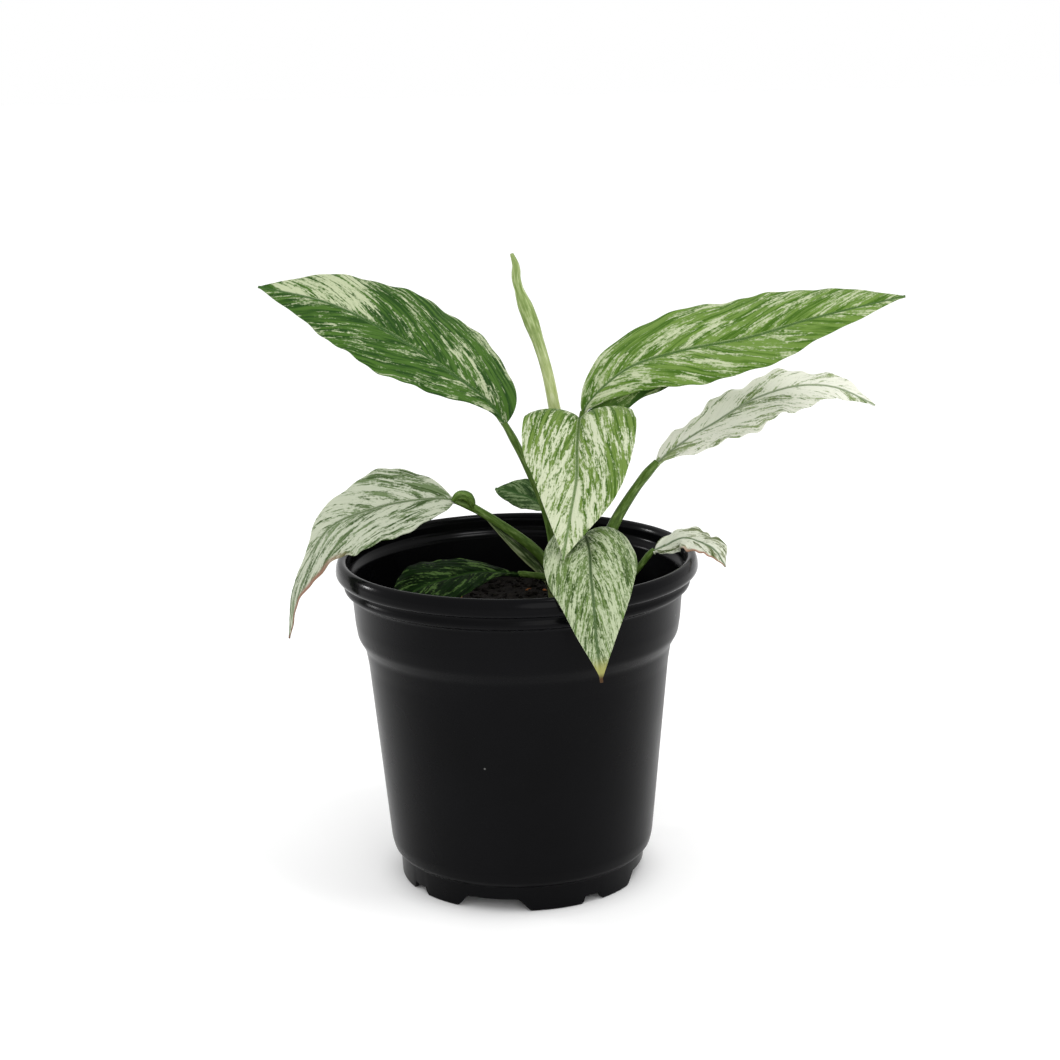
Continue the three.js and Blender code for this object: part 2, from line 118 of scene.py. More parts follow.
def soften(profile, radius):
    """Rounds each inner corner of a (radius, height) profile."""
    out = [profile[0]]
    for before, corner, after in zip(profile, profile[1:], profile[2:]):
        b, c, a = (np.array(p, float) for p in (before, corner, after))
        back, ahead = b - c, a - c
        reach = min(radius, 0.45 * np.linalg.norm(back), 0.45 * np.linalg.norm(ahead))
        p = c + back / np.linalg.norm(back) * reach
        q = c + ahead / np.linalg.norm(ahead) * reach
        for t in (0, 0.25, 0.5, 0.75, 1):
            out.append(tuple((1 - t) ** 2 * p + 2 * t * (1 - t) * c + t * t * q))
    return out + [profile[-1]]


# ---- Materials ----
VEIN_PITCH = 3.4  # between side veins, along the midrib
VEIN_BEND = 0.03  # how they bend towards the tip, per mm
BACK_SHARE = 0.4  # how far the underside is toned down
TISSUE_DEPTH = (0.002, 0.002, 0.001)  # how far light wanders inside a stalk, in metres


def feed(tree, socket, value):
    """Links a value that is a socket, and sets any other."""
    if isinstance(value, bpy.types.NodeSocket):
        tree.links.new(value, socket)
    else:
        socket.default_value = value


def node(tree, kind, **values):
    """Adds a shader node. A value's name is a setting of the node, the name of an input with _
    for each space, or i and the number of an input."""
    made = tree.nodes.new(kind)
    for key, value in values.items():
        if key[0] == "i" and key[1:].isdigit():
            feed(tree, made.inputs[int(key[1:])], value)
        elif hasattr(made, key):
            setattr(made, key, value)
        else:
            feed(tree, made.inputs[key.replace("_", " ")], value)
    return made


SHINE_THROUGH = 0.2  # share of the light that passes through a leaf


class Shade:
    """Short names for the nodes of one material."""

    def __init__(self, name):
        self.material = bpy.data.materials.new(name)
        self.material.use_nodes = True
        self.tree = self.material.node_tree
        self.tree.nodes.clear()
        self.out = self.tree.nodes.new("ShaderNodeOutputMaterial")

    def add(self, kind, **values):
        return node(self.tree, "ShaderNode" + kind, **values)

    def math(self, operation, a, b=0.0):
        return self.add("Math", operation=operation, i0=a, i1=b).outputs[0]

    def scaled(self, value, factor, plus=0.0):
        """value * factor + plus"""
        return self.add("Math", operation="MULTIPLY_ADD", i0=value, i1=factor, i2=plus).outputs[0]

    def split(self, vector):
        return self.add("SeparateXYZ", Vector=vector).outputs

    def join(self, x, y, z):
        return self.add("CombineXYZ", X=x, Y=y, Z=z).outputs[0]

    def attribute(self, name):
        return self.add("Attribute", attribute_name=name).outputs["Vector"]

    def noise(self, vector, scale, detail=3.0, roughness=0.5, distortion=0.0):
        made = self.add("TexNoise", Vector=vector, Scale=scale, Detail=detail, Roughness=roughness,
                        Distortion=distortion)
        return made.outputs["Fac"]

    def step(self, value, low, high):
        """Smooth step from 0 at low to 1 at high."""
        made = self.add("MapRange", interpolation_type="SMOOTHSTEP", i0=value, i1=low, i2=high)
        return made.outputs[0]

    def mix(self, factor, a, b):
        """Colour a at factor 0, b at 1."""
        return self.add("Mix", data_type="RGBA", i0=factor, i6=a, i7=b).outputs[2]

    def ramp(self, factor, stops):
        made = self.add("ValToRGB", Fac=factor)
        elements = made.color_ramp.elements
        while len(elements) < len(stops):
            elements.new(0.5)
        for element, (position, colour) in zip(elements, stops):
            element.position = position
            element.color = colour
        return made.outputs["Color"]

    def bump(self, height, strength, distance):
        return self.add("Bump", Height=height, Strength=strength, Distance=distance).outputs[0]

    def principled(self, specular, **values):
        body = self.add("BsdfPrincipled", **values)
        body.inputs["Specular IOR Level"].default_value = specular
        return body

    def thin(self, body, colour, **values):
        """A thin sheet of tissue: body, with a little light let through."""
        through = self.add("BsdfTranslucent", Color=colour, **values)
        both = self.add("MixShader", i0=SHINE_THROUGH, i1=body.outputs[0], i2=through.outputs[0])
        return self.surface(both.outputs[0])

    def surface(self, shader):
        self.tree.links.new(shader, self.out.inputs["Surface"])
        return self.material


def srgb(r, g, b):
    """A colour given as it looks, 0 to 255, as linear light."""
    def linear(v):
        v = v / 255
        return v / 12.92 if v <= 0.04045 else ((v + 0.055) / 1.055) ** 2.4
    return (linear(r), linear(g), linear(b), 1.0)


def leaf_material(name, look, seed):
    """Splashes of cream over two greens, drawn out along the side veins.
    Attributes: vein = (where the side vein leaves the midrib, distance along it, side) in mm,
    place = (share of the length, share of the half width, 1 below), rib = distance from the midrib."""
    sh = Shade(name)
    along, run, side = sh.split(sh.attribute("vein"))
    out = sh.split(sh.attribute("rib"))[0]
    s, u, under = sh.split(sh.attribute("place"))
    shift = sh.scaled(side, 37.0, seed * 13.7)

    def streaks(across, length, detail, extra, roughness=0.6, distortion=0.0):
        vector = sh.join(sh.scaled(along, across), sh.scaled(run, length), sh.scaled(shift, 1.0, extra))
        return sh.noise(vector, 1.0, detail, roughness, distortion)

    fine = streaks(0.9, 0.22 * look["short"], 5.0, 0.0, 0.75, 0.4)
    middle = streaks(0.28, 0.08 * look["short"], 4.0, 5.0, 0.65, 0.5)
    patch = streaks(0.08, 0.04, 2.0, 9.0)
    fleck = sh.noise(sh.add("TexCoord").outputs["Object"], 1100.0, 3.0, 0.6)
    level = sh.scaled(fine, look["fine"], look["pale"])
    level = sh.math("ADD", level, sh.scaled(middle, 1.0 - look["fine"]))
    level = sh.math("ADD", level, sh.scaled(patch, look["patch"], -0.5 * look["patch"]))
    level = sh.math("ADD", level, sh.scaled(fleck, 0.2, -0.1))
    for centre_s, half_s, side_sign, amount in look["sectors"]:
        near = sh.step(sh.math("ABSOLUTE", sh.scaled(s, 1.0, -centre_s)), half_s, 0.4 * half_s)
        if side_sign:
            near = sh.math("MULTIPLY", near, sh.step(sh.scaled(side, side_sign), -0.2, 0.6))
        level = sh.math("ADD", level, sh.scaled(near, amount))
    dark, mid, light = (srgb(*c) for c in look["greens"])
    tone = streaks(0.35, 0.06, 4.0, 15.0, 0.6)
    green = sh.ramp(tone, [(0.42, dark), (0.56, mid)])
    grey = tuple(0.65 * a + 0.35 * b for a, b in zip(mid, light))
    soft = look["soft"]
    colour = sh.mix(sh.step(level, 0.472 - soft, 0.508 + soft), green, grey)
    colour = sh.mix(sh.step(level, 0.5 - soft, 0.548 + soft), colour, light)

    rib = sh.step(out, look["rib"], 0.3 * look["rib"])
    colour = sh.mix(sh.scaled(rib, 0.75), colour, srgb(*look["rib_colour"]))
    wave = sh.math("ABSOLUTE", sh.math("SINE", sh.scaled(along, math.pi / VEIN_PITCH)))
    vein = sh.step(wave, 0.25, 0.0)
    colour = sh.mix(sh.scaled(vein, 0.08), colour, srgb(*look["rib_colour"]))

    for start, end, tint in look["tip"]:
        colour = sh.mix(sh.step(s, start, end), colour, srgb(*tint))
    if look["edge"]:
        from_s, to_s, sign, tint = look["edge"]
        mask = sh.math("MULTIPLY", sh.step(u, 0.8, 0.98), sh.step(sh.scaled(side, sign), -0.2, 0.6))
        mask = sh.math("MULTIPLY", mask, sh.step(s, from_s, to_s))
        colour = sh.mix(mask, colour, srgb(*tint))
    pale_back = sh.mix(BACK_SHARE, colour, srgb(*look["back"]))
    colour = sh.mix(under, colour, pale_back)

    cells = sh.noise(sh.add("TexCoord").outputs["Object"], 1400.0, 2.0)
    relief = sh.math("ADD", sh.scaled(fine, 0.6), sh.scaled(cells, 0.3))
    relief = sh.math("SUBTRACT", relief, sh.scaled(vein, 0.5))
    normal = sh.bump(relief, 0.5, 0.0003)
    rough = sh.scaled(middle, 0.25, look["rough"])
    body = sh.principled(look["shine"], Base_Color=colour, Roughness=rough, Normal=normal)
    return sh.thin(body, colour, Normal=normal)


# greens: dark green, middle green and cream. pale: how much more of it is cream. fine, patch:
# weight of the finest and the widest streaks. short: how short the streaks are. soft: how soft
# their edges are. sectors: parts with more cream, as (middle, half length, side, amount).
# tip, edge: dried parts. back: tint of the underside.
LOOK = dict(
    greens=[(42, 80, 16), (84, 122, 48), (214, 222, 192)], pale=0.0, fine=0.4, patch=0.35, short=1.4,
    soft=0.006, sectors=[], tip=[], edge=None, rib=0.7, rib_colour=(60, 98, 44),
    back=(130, 152, 100), rough=0.36, shine=0.12,
)

# ---- Leaves ----
# The CAD model's leaves: stalk and midrib points (across, back, over the rim), the way the blade
# faces along its length, half widths (greatest, rise, fall), fold, curl and edge waves.
# The CAD model has no slim (a thinner stalk), ruffle (crumples a blade near its base) or lean (the
# slant of the side veins at base and tip), and its low_left is fuller towards both ends.
LEAVES = [
    dict(
        name="upper_left", heading=145, stout=0.85,
        stalk=[(11, 8, 9), (4, 10, 27)],
        midrib=[(-3, 11, 41), (-8, 13, 48), (-23, 18, 59), (-43, 21, 72), (-61, 22, 81), (-84, 22, 87)],
        faces=[(0.6, -0.6, 0.5), (0.4, -0.6, 0.7), (0.3, -0.6, 0.75), (0.15, -0.6, 0.8)],
        left=(18, 1.25, 1.1), right=(23.4, 0.62, 1), fold=0.25, curl=-0.5, wave=0.8, waves=4,
        lean=(1.3, 0.8),
        slot="leaf_green",
        look=dict(LOOK, greens=[(34, 72, 12), (74, 112, 38), (196, 205, 168)], pale=-0.06, patch=0.4,
                  soft=0.014, sectors=[(0.8, 0.22, 1, 0.1)]),
    ),
    dict(
        name="upper_right", heading=65, stout=0.95,
        stalk=[(22, 9, 8), (23, 11, 28)],
        midrib=[(23, 12, 44), (25, 12, 48), (38, 14, 58.5), (55, 13, 64), (78, 8, 69), (97, 2, 75.5),
                (126, -6, 83.5)],
        faces=[(-0.6, -0.6, 0.5), (-0.3, -0.6, 0.75), (-0.3, -0.6, 0.75), (-0.2, -0.6, 0.8)],
        left=(18.5, 0.8, 1), right=(15.8, 0.9, 1.2), fold=0.25, curl=-0.5, wave=0.8, waves=4,
        lean=(1.4, 1.0),
        slot="leaf_green",
        look=dict(LOOK, greens=[(72, 110, 28), (116, 148, 66), (202, 211, 174)], pale=-0.05, patch=0.4,
                  soft=0.026, sectors=[(0.05, 0.25, 0, 0.03)], rib_colour=(60, 98, 40)),
    ),
    dict(
        name="mid_right", heading=25, stout=1.05,
        stalk=[(31, 5, 4), (38, 8, 16)],
        midrib=[(47, 10, 27), (58, 14, 34.5), (67, 17, 39), (80, 20, 46), (95, 22, 50), (108, 24, 49),
                (122, 25, 42.5)],
        faces=[(-0.5, -0.5, 0.7), (-0.35, -0.5, 0.8), (-0.1, -0.5, 0.85), (0.1, -0.5, 0.85)],
        left=(9, 0.6, 0.7), right=(14, 1, 1.3), fold=0.24, curl=-0.4, wave=1.4, waves=4, lean=(1.5, 1.0),
        slot="leaf_pale",
        look=dict(LOOK, greens=[(96, 122, 58), (158, 174, 124), (246, 246, 234)], pale=0.06, patch=0.35,
                  soft=0.012, sectors=[(0.02, 0.12, 0, -0.05)],
                  rib_colour=(110, 134, 84)),
    ),
    dict(
        name="mid_left", heading=185, stout=1.15, slim=0.78,
        stalk=[(9, 0, -3), (-4, -3, 9.5)],
        midrib=[(-20, -6, 19.5), (-32, -7, 20), (-47, -9, 17.5), (-60, -11, 12.5), (-68, -13, 2),
                (-73, -14, -8), (-75, -14, -24)],
        faces=[(0.1, -0.4, 0.9), (-0.1, -0.5, 0.85), (-0.5, -0.6, 0.6), (-0.9, -0.4, 0.2),
               (-0.9, -0.4, 0.1)],
        left=(19, 0.6, 1), right=(15, 1.1, 3.5), fold=0.3, curl=-0.3, wave=0.8, waves=4, lean=(1.5, 1.5),
        slot="leaf_pale",
        look=dict(LOOK, greens=[(60, 82, 38), (112, 132, 90), (196, 202, 180)], pale=0.03, patch=0.5,
                  rib_colour=(84, 108, 60), edge=(0.45, 0.7, -1, (150, 110, 92)),
                  tip=[(0.975, 0.995, (96, 66, 50))]),
    ),
    dict(
        name="front_upper", heading=265, stout=0.95,
        stalk=[(21, -5, 8), (22, -3, 27)],
        midrib=[(21.5, 0, 41), (21.5, -6, 45.5), (21, -14, 46.5), (20, -22, 39.5), (19.5, -30, 31),
                (17.5, -38, 22.5), (14.5, -50, 10)],
        faces=[(0, 0.6, 0.8), (0, 0, 1), (0, -0.7, 0.7), (0, -0.9, 0.4), (0, -0.9, 0.4), (-0.1, -0.9, 0.3)],
        left=(19.4, 0.43, 1.1), right=(18.5, 0.58, 1.27), fold=0.4, curl=-0.6, cup=0.55, wave=0.8, waves=4,
        ruffle=0.7, lean=(1.6, 2.5),
        slot="leaf_green",
        look=dict(LOOK, greens=[(68, 102, 26), (116, 144, 66), (212, 219, 188)], pale=0.0, patch=0.4,
                  short=2.4, soft=0.012, sectors=[(0.12, 0.3, 0, -0.03), (0.75, 0.3, 0, 0.03)],
                  rib_colour=(84, 118, 50)),
    ),
    dict(
        name="front_lower", heading=305, stout=0.9,
        stalk=[(26, -9, -8), (24, -14, 0)],
        midrib=[(22, -20, 7), (22, -30, 12.5), (23, -42, 10), (23, -52, 6), (23.5, -60.5, -0.5),
                (24, -65, -10), (25.5, -67, -24.5)],
        faces=[(0, 0.3, 0.95), (0, -0.3, 0.95), (0, -0.7, 0.75), (0, -0.9, 0.4), (0, -1, 0.1),
               (0, -1, 0.05)],
        left=(16.5, 0.48, 1.12), right=(16.1, 0.63, 1.32), fold=0.3, curl=-0.95, cup=1, wave=0.5, waves=3,
        lean=(1.6, 2.8),
        slot="leaf_green",
        look=dict(LOOK, greens=[(56, 80, 32), (104, 130, 68), (192, 203, 168)], pale=0.004, patch=0.2,
                  fine=0.6, short=1.8, rib_colour=(54, 86, 34),
                  tip=[(0.88, 0.955, (167, 166, 98)), (0.955, 0.985, (84, 62, 40))]),
    ),
    dict(
        name="right_small", heading=345, stout=0.7,
        stalk=[(34, -1, -12), (40, -2, -6)],
        midrib=[(45, -2, 0), (49, -1, 1.5), (55, -1, 4), (61, -4, 3), (65, -6, 1), (68.5, -9, -4)],
        faces=[(-0.6, -0.6, 0.6), (-0.4, -0.4, 0.8), (0.1, -0.2, 0.95), (0.6, -0.6, 0.5),
               (0.9, -0.4, 0.1)],
        left=(7, 1, 0.8), right=(7, 0.8, 0.9), fold=0.2, curl=-0.4, wave=0.9, waves=3, ruffle=0.8,
        lean=(1.3, 1.0),
        slot="leaf_pale",
        look=dict(LOOK, greens=[(84, 100, 54), (146, 154, 118), (228, 231, 214)], pale=0.035, patch=0.3,
                  edge=(0.35, 0.6, 1, (176, 132, 112))),
    ),
    dict(
        name="low_left", heading=225, stout=0.7,
        stalk=[(12, -4, -9)],
        midrib=[(1, -9, -5), (-12, -13, -3), (-22, -19, -3.5), (-31, -25, -5), (-39, -30, -9)],
        faces=[(0, -0.3, 0.95), (0, -0.4, 0.9), (-0.1, -0.4, 0.9)],
        left=(10.6, 1.5, 0.85), right=(11.8, 1.5, 0.85), fold=0.15, curl=-0.3, wave=0.5, waves=3,
        lean=(1.2, 0.8),
        slot="leaf_dark",
        # low_left lies inside the pot: its greens and underside tint are dark as painted shade from the pot
        # around it
        look=dict(LOOK, greens=[(3, 18, 1), (14, 36, 7), (78, 104, 54)], pale=-0.045, patch=0.3,
                  rib_colour=(40, 66, 26), back=(50, 74, 40), shine=0.03),
    ),
    dict(
        name="back_small", heading=105, stout=0.65,
        stalk=[(20, 15, -5), (15, 19, 4)],
        midrib=[(10, 20, 10), (6.5, 22, 12.5), (-0.5, 24, 15), (-7, 26, 16)],
        faces=[(0.1, -0.5, 0.85), (0.1, -0.6, 0.8), (0, -0.6, 0.8)],
        left=(6, 0.5, 0.7), right=(7, 1, 1.2), fold=0.2, curl=-0.3, wave=0.3, waves=2, lean=(1.2, 0.8),
        slot="leaf_dark",
        look=dict(LOOK, greens=[(28, 58, 12), (60, 90, 42), (124, 146, 100)], pale=-0.02, patch=0.3),
    ),
]

STALK_RING = 7.4  # radius of the ring that the stalks stand on
STALK_FOOT = 1.35  # stalk radius at the foot, over its radius halfway up
STALK_HEAD = 0.65  # and at the blade
TIP_HALF_WIDTH = 0.5
BLADE_THICKNESS = 0.5
PLEAT_DEPTH = 0.07
GROOVE = (0.45, 0.8)  # depth and half width of the channel over the midrib
RIDGE = (1.1, 1.1)  # height and half width of the midrib below
STATIONS = 160  # rows of a blade, from base to tip
CELLS = 22  # from the midrib to each edge
SPAN_SAMPLES = 60


def centripetal(points, per=SPAN_SAMPLES):
    """A centripetal Catmull-Rom curve through points, sampled evenly between each two."""
    p = np.asarray(points, float)
    p = np.vstack([2 * p[0] - p[1], p, 2 * p[-1] - p[-2]])
    out = []
    for p0, p1, p2, p3 in zip(p, p[1:], p[2:], p[3:]):
        spans = ((p0, p1), (p1, p2), (p2, p3))
        d0, d1, d2 = (math.sqrt(np.linalg.norm(b - a)) for a, b in spans)
        m1 = ((p1 - p0) / d0 - (p2 - p0) / (d0 + d1) + (p2 - p1) / d1) * d1
        m2 = ((p2 - p1) / d1 - (p3 - p1) / (d1 + d2) + (p3 - p2) / d2) * d1
        t = (np.arange(per) / per)[:, None]
        square = 3 * (p2 - p1) - 2 * m1 - m2
        cube = 2 * (p1 - p2) + m1 + m2
        out.append(p1 + m1 * t + square * t**2 + cube * t**3)
    return np.vstack(out + [p[-2:-1]])


class Path:
    """A curve measured along its length, in mm."""

    def __init__(self, points):
        self.points = centripetal(points)
        self.run = np.r_[0, np.cumsum(np.linalg.norm(np.diff(self.points, axis=0), axis=1))]
        self.length = self.run[-1]

    def at(self, run):
        return np.stack([np.interp(run, self.run, self.points[:, i]) for i in range(3)], -1)

    def ahead(self, run):
        step = 0.4
        d = self.at(np.minimum(run + step, self.length)) - self.at(np.maximum(run - step, 0))
        return d / np.linalg.norm(d, axis=-1, keepdims=True)


def leaf_point(p):
    """A leaf's point, whose height is over the rim, about the pot's foot."""
    x, y, h = p
    return (x * REACH, y * REACH, HEIGHT + h)


def leaf_path(leaf):
    """The curve of a leaf, and how far along it the blade starts."""
    turn = math.radians(leaf["heading"])
    foot = (CROWN[0] + STALK_RING * math.cos(turn), CROWN[1] + STALK_RING * math.sin(turn))
    points = [(*foot, SOIL_TOP), (*foot, SOIL_TOP + CROWN_RISE)]
    points += [leaf_point(p) for p in leaf["stalk"] + leaf["midrib"]]
    path = Path(points)
    start = (len(leaf["stalk"]) + 2) * SPAN_SAMPLES
    return path, path.run[start]


def fullness(s, rise, fall):
    """Share of a blade's greatest half width at a share s of its length."""
    top = rise / (rise + fall)
    return (s / top) ** rise * ((1 - s) / (1 - top)) ** fall


def unit(v):
    return v / np.linalg.norm(v, axis=-1, keepdims=True)


def blade_grid(leaf):
    """Middle surface of a blade: points, distance along the vein, distance out, s and u."""
    path, base = leaf_path(leaf)
    s = np.linspace(0, 1, STATIONS + 1)
    run = base + (path.length - base) * s
    centre, ahead = path.at(run), path.ahead(run)
    faces = np.array(leaf["faces"], float)
    spot = np.minimum(s, 0.9999) * (len(faces) - 1)
    k = np.floor(spot).astype(int)
    face = faces[k] + (faces[k + 1] - faces[k]) * (spot - k)[:, None]
    face = unit(face - ahead * np.sum(face * ahead, 1)[:, None])
    across = np.cross(ahead, face)
    neck = STALK_HEAD * leaf["stout"] * STALK_RADIUS
    least = neck + (TIP_HALF_WIDTH - neck) * s
    length = path.length - base
    u = np.linspace(0, 1, CELLS + 1)
    halves = []
    for side in (-1, 1):
        widest, rise, fall = leaf["left"] if side < 0 else leaf["right"]
        half = np.maximum(widest * fullness(s, rise, fall), least)
        open_ = half / widest
        cup = leaf.get("cup", 0) * (1 - s[:, None]) ** 3
        middle = (u[:-1] + u[1:])[None, :] / 2
        slope = (leaf["fold"] + cup + (leaf["curl"] - 2 * cup) * middle) * open_[:, None]
        x = np.cumsum(np.cos(slope), 1) * (half / CELLS)[:, None]
        z = np.cumsum(np.sin(slope), 1) * (half / CELLS)[:, None]
        zero = np.zeros((len(s), 1))
        x, z = np.hstack([zero, x]), np.hstack([zero, z])
        z = z + leaf["wave"] * open_[:, None] * u**2 * np.sin(TURN * leaf["waves"] * s + side)[:, None]
        flutter = np.sin(TURN * 2.7 * leaf["waves"] * s + 2 * side) * open_
        z = z + 0.45 * leaf["wave"] * flutter[:, None] * u**4
        ruffle = leaf.get("ruffle", 0) * np.sin(TURN * 5 * s + 2.3 * side) * np.exp(-((s / 0.25) ** 2))
        z = z + ruffle[:, None] * u**3
        p = centre[:, None] + across[:, None] * (side * x)[..., None] + face[:, None] * z[..., None]
        out = half[:, None] * u[None, :]
        halves.append((p, out))
    (pl, ol), (pr, orr) = halves
    points = np.concatenate([pl[:, ::-1], pr[:, 1:]], 1)
    out = np.concatenate([ol[:, ::-1], orr[:, 1:]], 1)
    side = np.r_[-np.ones(CELLS), 0, np.ones(CELLS)]
    uu = np.r_[u[::-1], u[1:]]
    lean = leaf["lean"][0] + leaf["lean"][1] * s[:, None] ** 2
    origin = (s * length)[:, None] - lean * out - VEIN_BEND * out**2
    return points, origin, out * np.sqrt(1 + lean**2), out, np.broadcast_to(side, out.shape), s, uu


def sheet_faces(rows, columns):
    """Faces of a closed sheet: a grid of upper points, then the same grid of lower points."""
    count = rows * columns
    grid = np.arange(count).reshape(rows, columns)
    a, b, c, d = grid[:-1, :-1], grid[1:, :-1], grid[1:, 1:], grid[:-1, 1:]
    top = np.stack([a, d, c, b], -1).reshape(-1, 4)
    bottom = np.stack([a, b, c, d], -1).reshape(-1, 4) + count
    rim = np.r_[grid[0, :], grid[1:, -1], grid[-1, -2::-1], grid[-2:0:-1, 0]]
    after = np.roll(rim, -1)
    wall = np.stack([rim, rim + count, after + count, after], -1)
    return np.vstack([top, bottom, wall])


def upper_side(points):
    """Unit normals of a blade's middle surface, on its upper side."""
    return unit(np.cross(np.gradient(points, axis=1), np.gradient(points, axis=0)))


def make_blade(leaf, index):
    """A leaf blade with a sunken midrib, a ridge below it and shallow pleats."""
    points, origin, run, out, side, s, u = blade_grid(leaf)
    normal = upper_side(points)
    near_middle = np.clip(np.sin(np.pi * u) * 1.6, 0, 1)[None, :]
    near_base = np.clip(8 * (1 - s), 0, 1)[:, None]
    pleat = PLEAT_DEPTH * np.cos(TURN * origin / VEIN_PITCH) * near_middle * near_base
    groove = -GROOVE[0] * np.exp(-((out / GROOVE[1]) ** 2)) * (1 - 0.6 * s[:, None])
    ridge = -(RIDGE[0] * (1 - s[:, None]) ** 0.8 + 0.1) * np.exp(-((out / RIDGE[1]) ** 2))
    thin = BLADE_THICKNESS * (1 - 0.45 * u**3)[None, :] / 2
    upper = points + normal * (thin + pleat + groove)[..., None]
    lower = points + normal * (-thin + pleat + ridge)[..., None]
    vein = np.stack([origin, run, side], -1).reshape(-1, 3)
    rib = np.stack([out, out, out], -1).reshape(-1, 3)
    shares = np.stack(np.broadcast_arrays(s[:, None], u[None, :], 0.0), -1).reshape(-1, 3)
    marks = {
        "vein": np.vstack([vein, vein]),
        "place": np.vstack([shares, shares + (0, 0, 1)]),
        "rib": np.vstack([rib, rib]),
    }
    name = "leaf_" + leaf["name"]
    skin = np.vstack([upper.reshape(-1, 3), lower.reshape(-1, 3)])
    material = leaf_material(name, leaf["look"], index)
    obj = make_object(name, skin, sheet_faces(*out.shape), material, 60, marks)
    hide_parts("blade_" + leaf["name"])


def tube(path, start, end, radii, sides, steps, section=None):
    """Rings of a bar along a path. radii is a function of 0..1, section of the turn angle and 0..1."""
    t = np.linspace(0, 1, steps + 1)
    run = start + (end - start) * t
    centre, ahead = path.at(run), path.ahead(run)
    side = np.array([0.0, 1.0, 0.0]) if abs(ahead[0][1]) < 0.8 else np.array([1.0, 0.0, 0.0])
    rings = []
    for i in range(steps + 1):
        side = unit(side - ahead[i] * np.dot(side, ahead[i]))
        up = np.cross(ahead[i], side)
        turn = TURN * np.arange(sides) / sides
        r = radii(t[i]) * (section(turn, t[i]) if section else np.ones(sides))
        ring = (np.cos(turn) * r)[:, None] * side + (np.sin(turn) * r)[:, None] * up
        rings.append(centre[i] + ring)
    return np.array(rings), t


def tube_marks(t, sides):
    """The place attribute of a tube: share of its length, and of the way round from its seam."""
    turn = np.abs(2 * np.arange(sides) / sides - 1)
    count = len(t)
    return {"place": np.stack([np.repeat(t, sides), np.tile(turn, count), np.zeros(count * sides)], -1)}


def stalk_material():
    sh = Shade("stalk")
    t, turn, _ = sh.split(sh.attribute("place"))
    vector = sh.join(sh.math("MULTIPLY", turn, 2.2), sh.math("MULTIPLY", t, 5.0), 0.0)
    streak = sh.noise(vector, 2.0, 4.0, 0.6)
    colour = sh.ramp(streak, [(0.3, srgb(50, 74, 16)), (0.5, srgb(78, 105, 40)), (0.62, srgb(100, 126, 62)),
                              (0.75, srgb(150, 165, 110))])
    foot = sh.step(t, 0.3, 0.0)
    colour = sh.mix(sh.math("MULTIPLY", foot, 0.6), colour, srgb(150, 158, 104))
    fibres = sh.noise(sh.join(sh.math("MULTIPLY", turn, 9.0), sh.math("MULTIPLY", t, 3.0), 0.0), 3.0, 2.0)
    body = sh.principled(0.15, Base_Color=colour, Roughness=0.42, Normal=sh.bump(fibres, 0.4, 0.0002),
                         Subsurface_Weight=0.08, Subsurface_Radius=TISSUE_DEPTH)
    return sh.surface(body.outputs[0])


STALK = stalk_material()
STALK_SIDES = 24
STALK_STEPS = 60


def make_stalk(leaf):
    path, base = leaf_path(leaf)
    radius = leaf["stout"] * STALK_RADIUS * leaf.get("slim", 1)

    def radii(t):
        swell = STALK_FOOT + (1 - STALK_FOOT) * 2 * t if t < 0.5 else 1 + (STALK_HEAD - 1) * (2 * t - 1)
        knee = 0.12 * math.exp(-(((t - 0.9) / 0.06) ** 2))
        return radius * (swell + knee)

    def section(turn, t):
        return 1 - 0.1 * np.exp(-(((turn - 4.2) / 0.4) ** 2)) + 0.015 * np.cos(7 * turn + 3 * t)

    rings, t = tube(path, 0.6 * CROWN_RISE, base + 0.6, radii, STALK_SIDES, STALK_STEPS, section)
    obj = make_bar("stem_" + leaf["name"], rings, STALK, attributes=tube_marks(t, STALK_SIDES))
    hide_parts("stalk_" + leaf["name"])


def sheath_material():
    """Thin stalk wing: darker than the stalk, with pale streaks and a pale free edge, and painted shade
    along its side next to the stalk.
    """
    sh = Shade("sheath")
    t, u, _ = sh.split(sh.attribute("place"))
    streak = sh.noise(sh.join(sh.scaled(u, 3.0), sh.scaled(t, 8.0), 4.0), 2.0, 4.0, 0.65)
    colour = sh.ramp(streak, [
        (0.35, srgb(30, 50, 12)), (0.5, srgb(70, 92, 42)), (0.62, srgb(150, 162, 122)),
    ])
    # painted shade: the side of the wing next to the stalk is darkened, as the shade between wing and stalk
    colour = sh.mix(sh.scaled(sh.step(u, 0.65, 0.15), 0.85), colour, srgb(18, 30, 8))
    colour = sh.mix(sh.scaled(sh.step(u, 0.8, 1.0), 0.7), colour, srgb(160, 170, 124))
    body = sh.principled(0.15, Base_Color=colour, Roughness=0.45, Normal=sh.bump(streak, 0.4, 0.0002))
    return sh.thin(body, colour)


SHEATH = sheath_material()


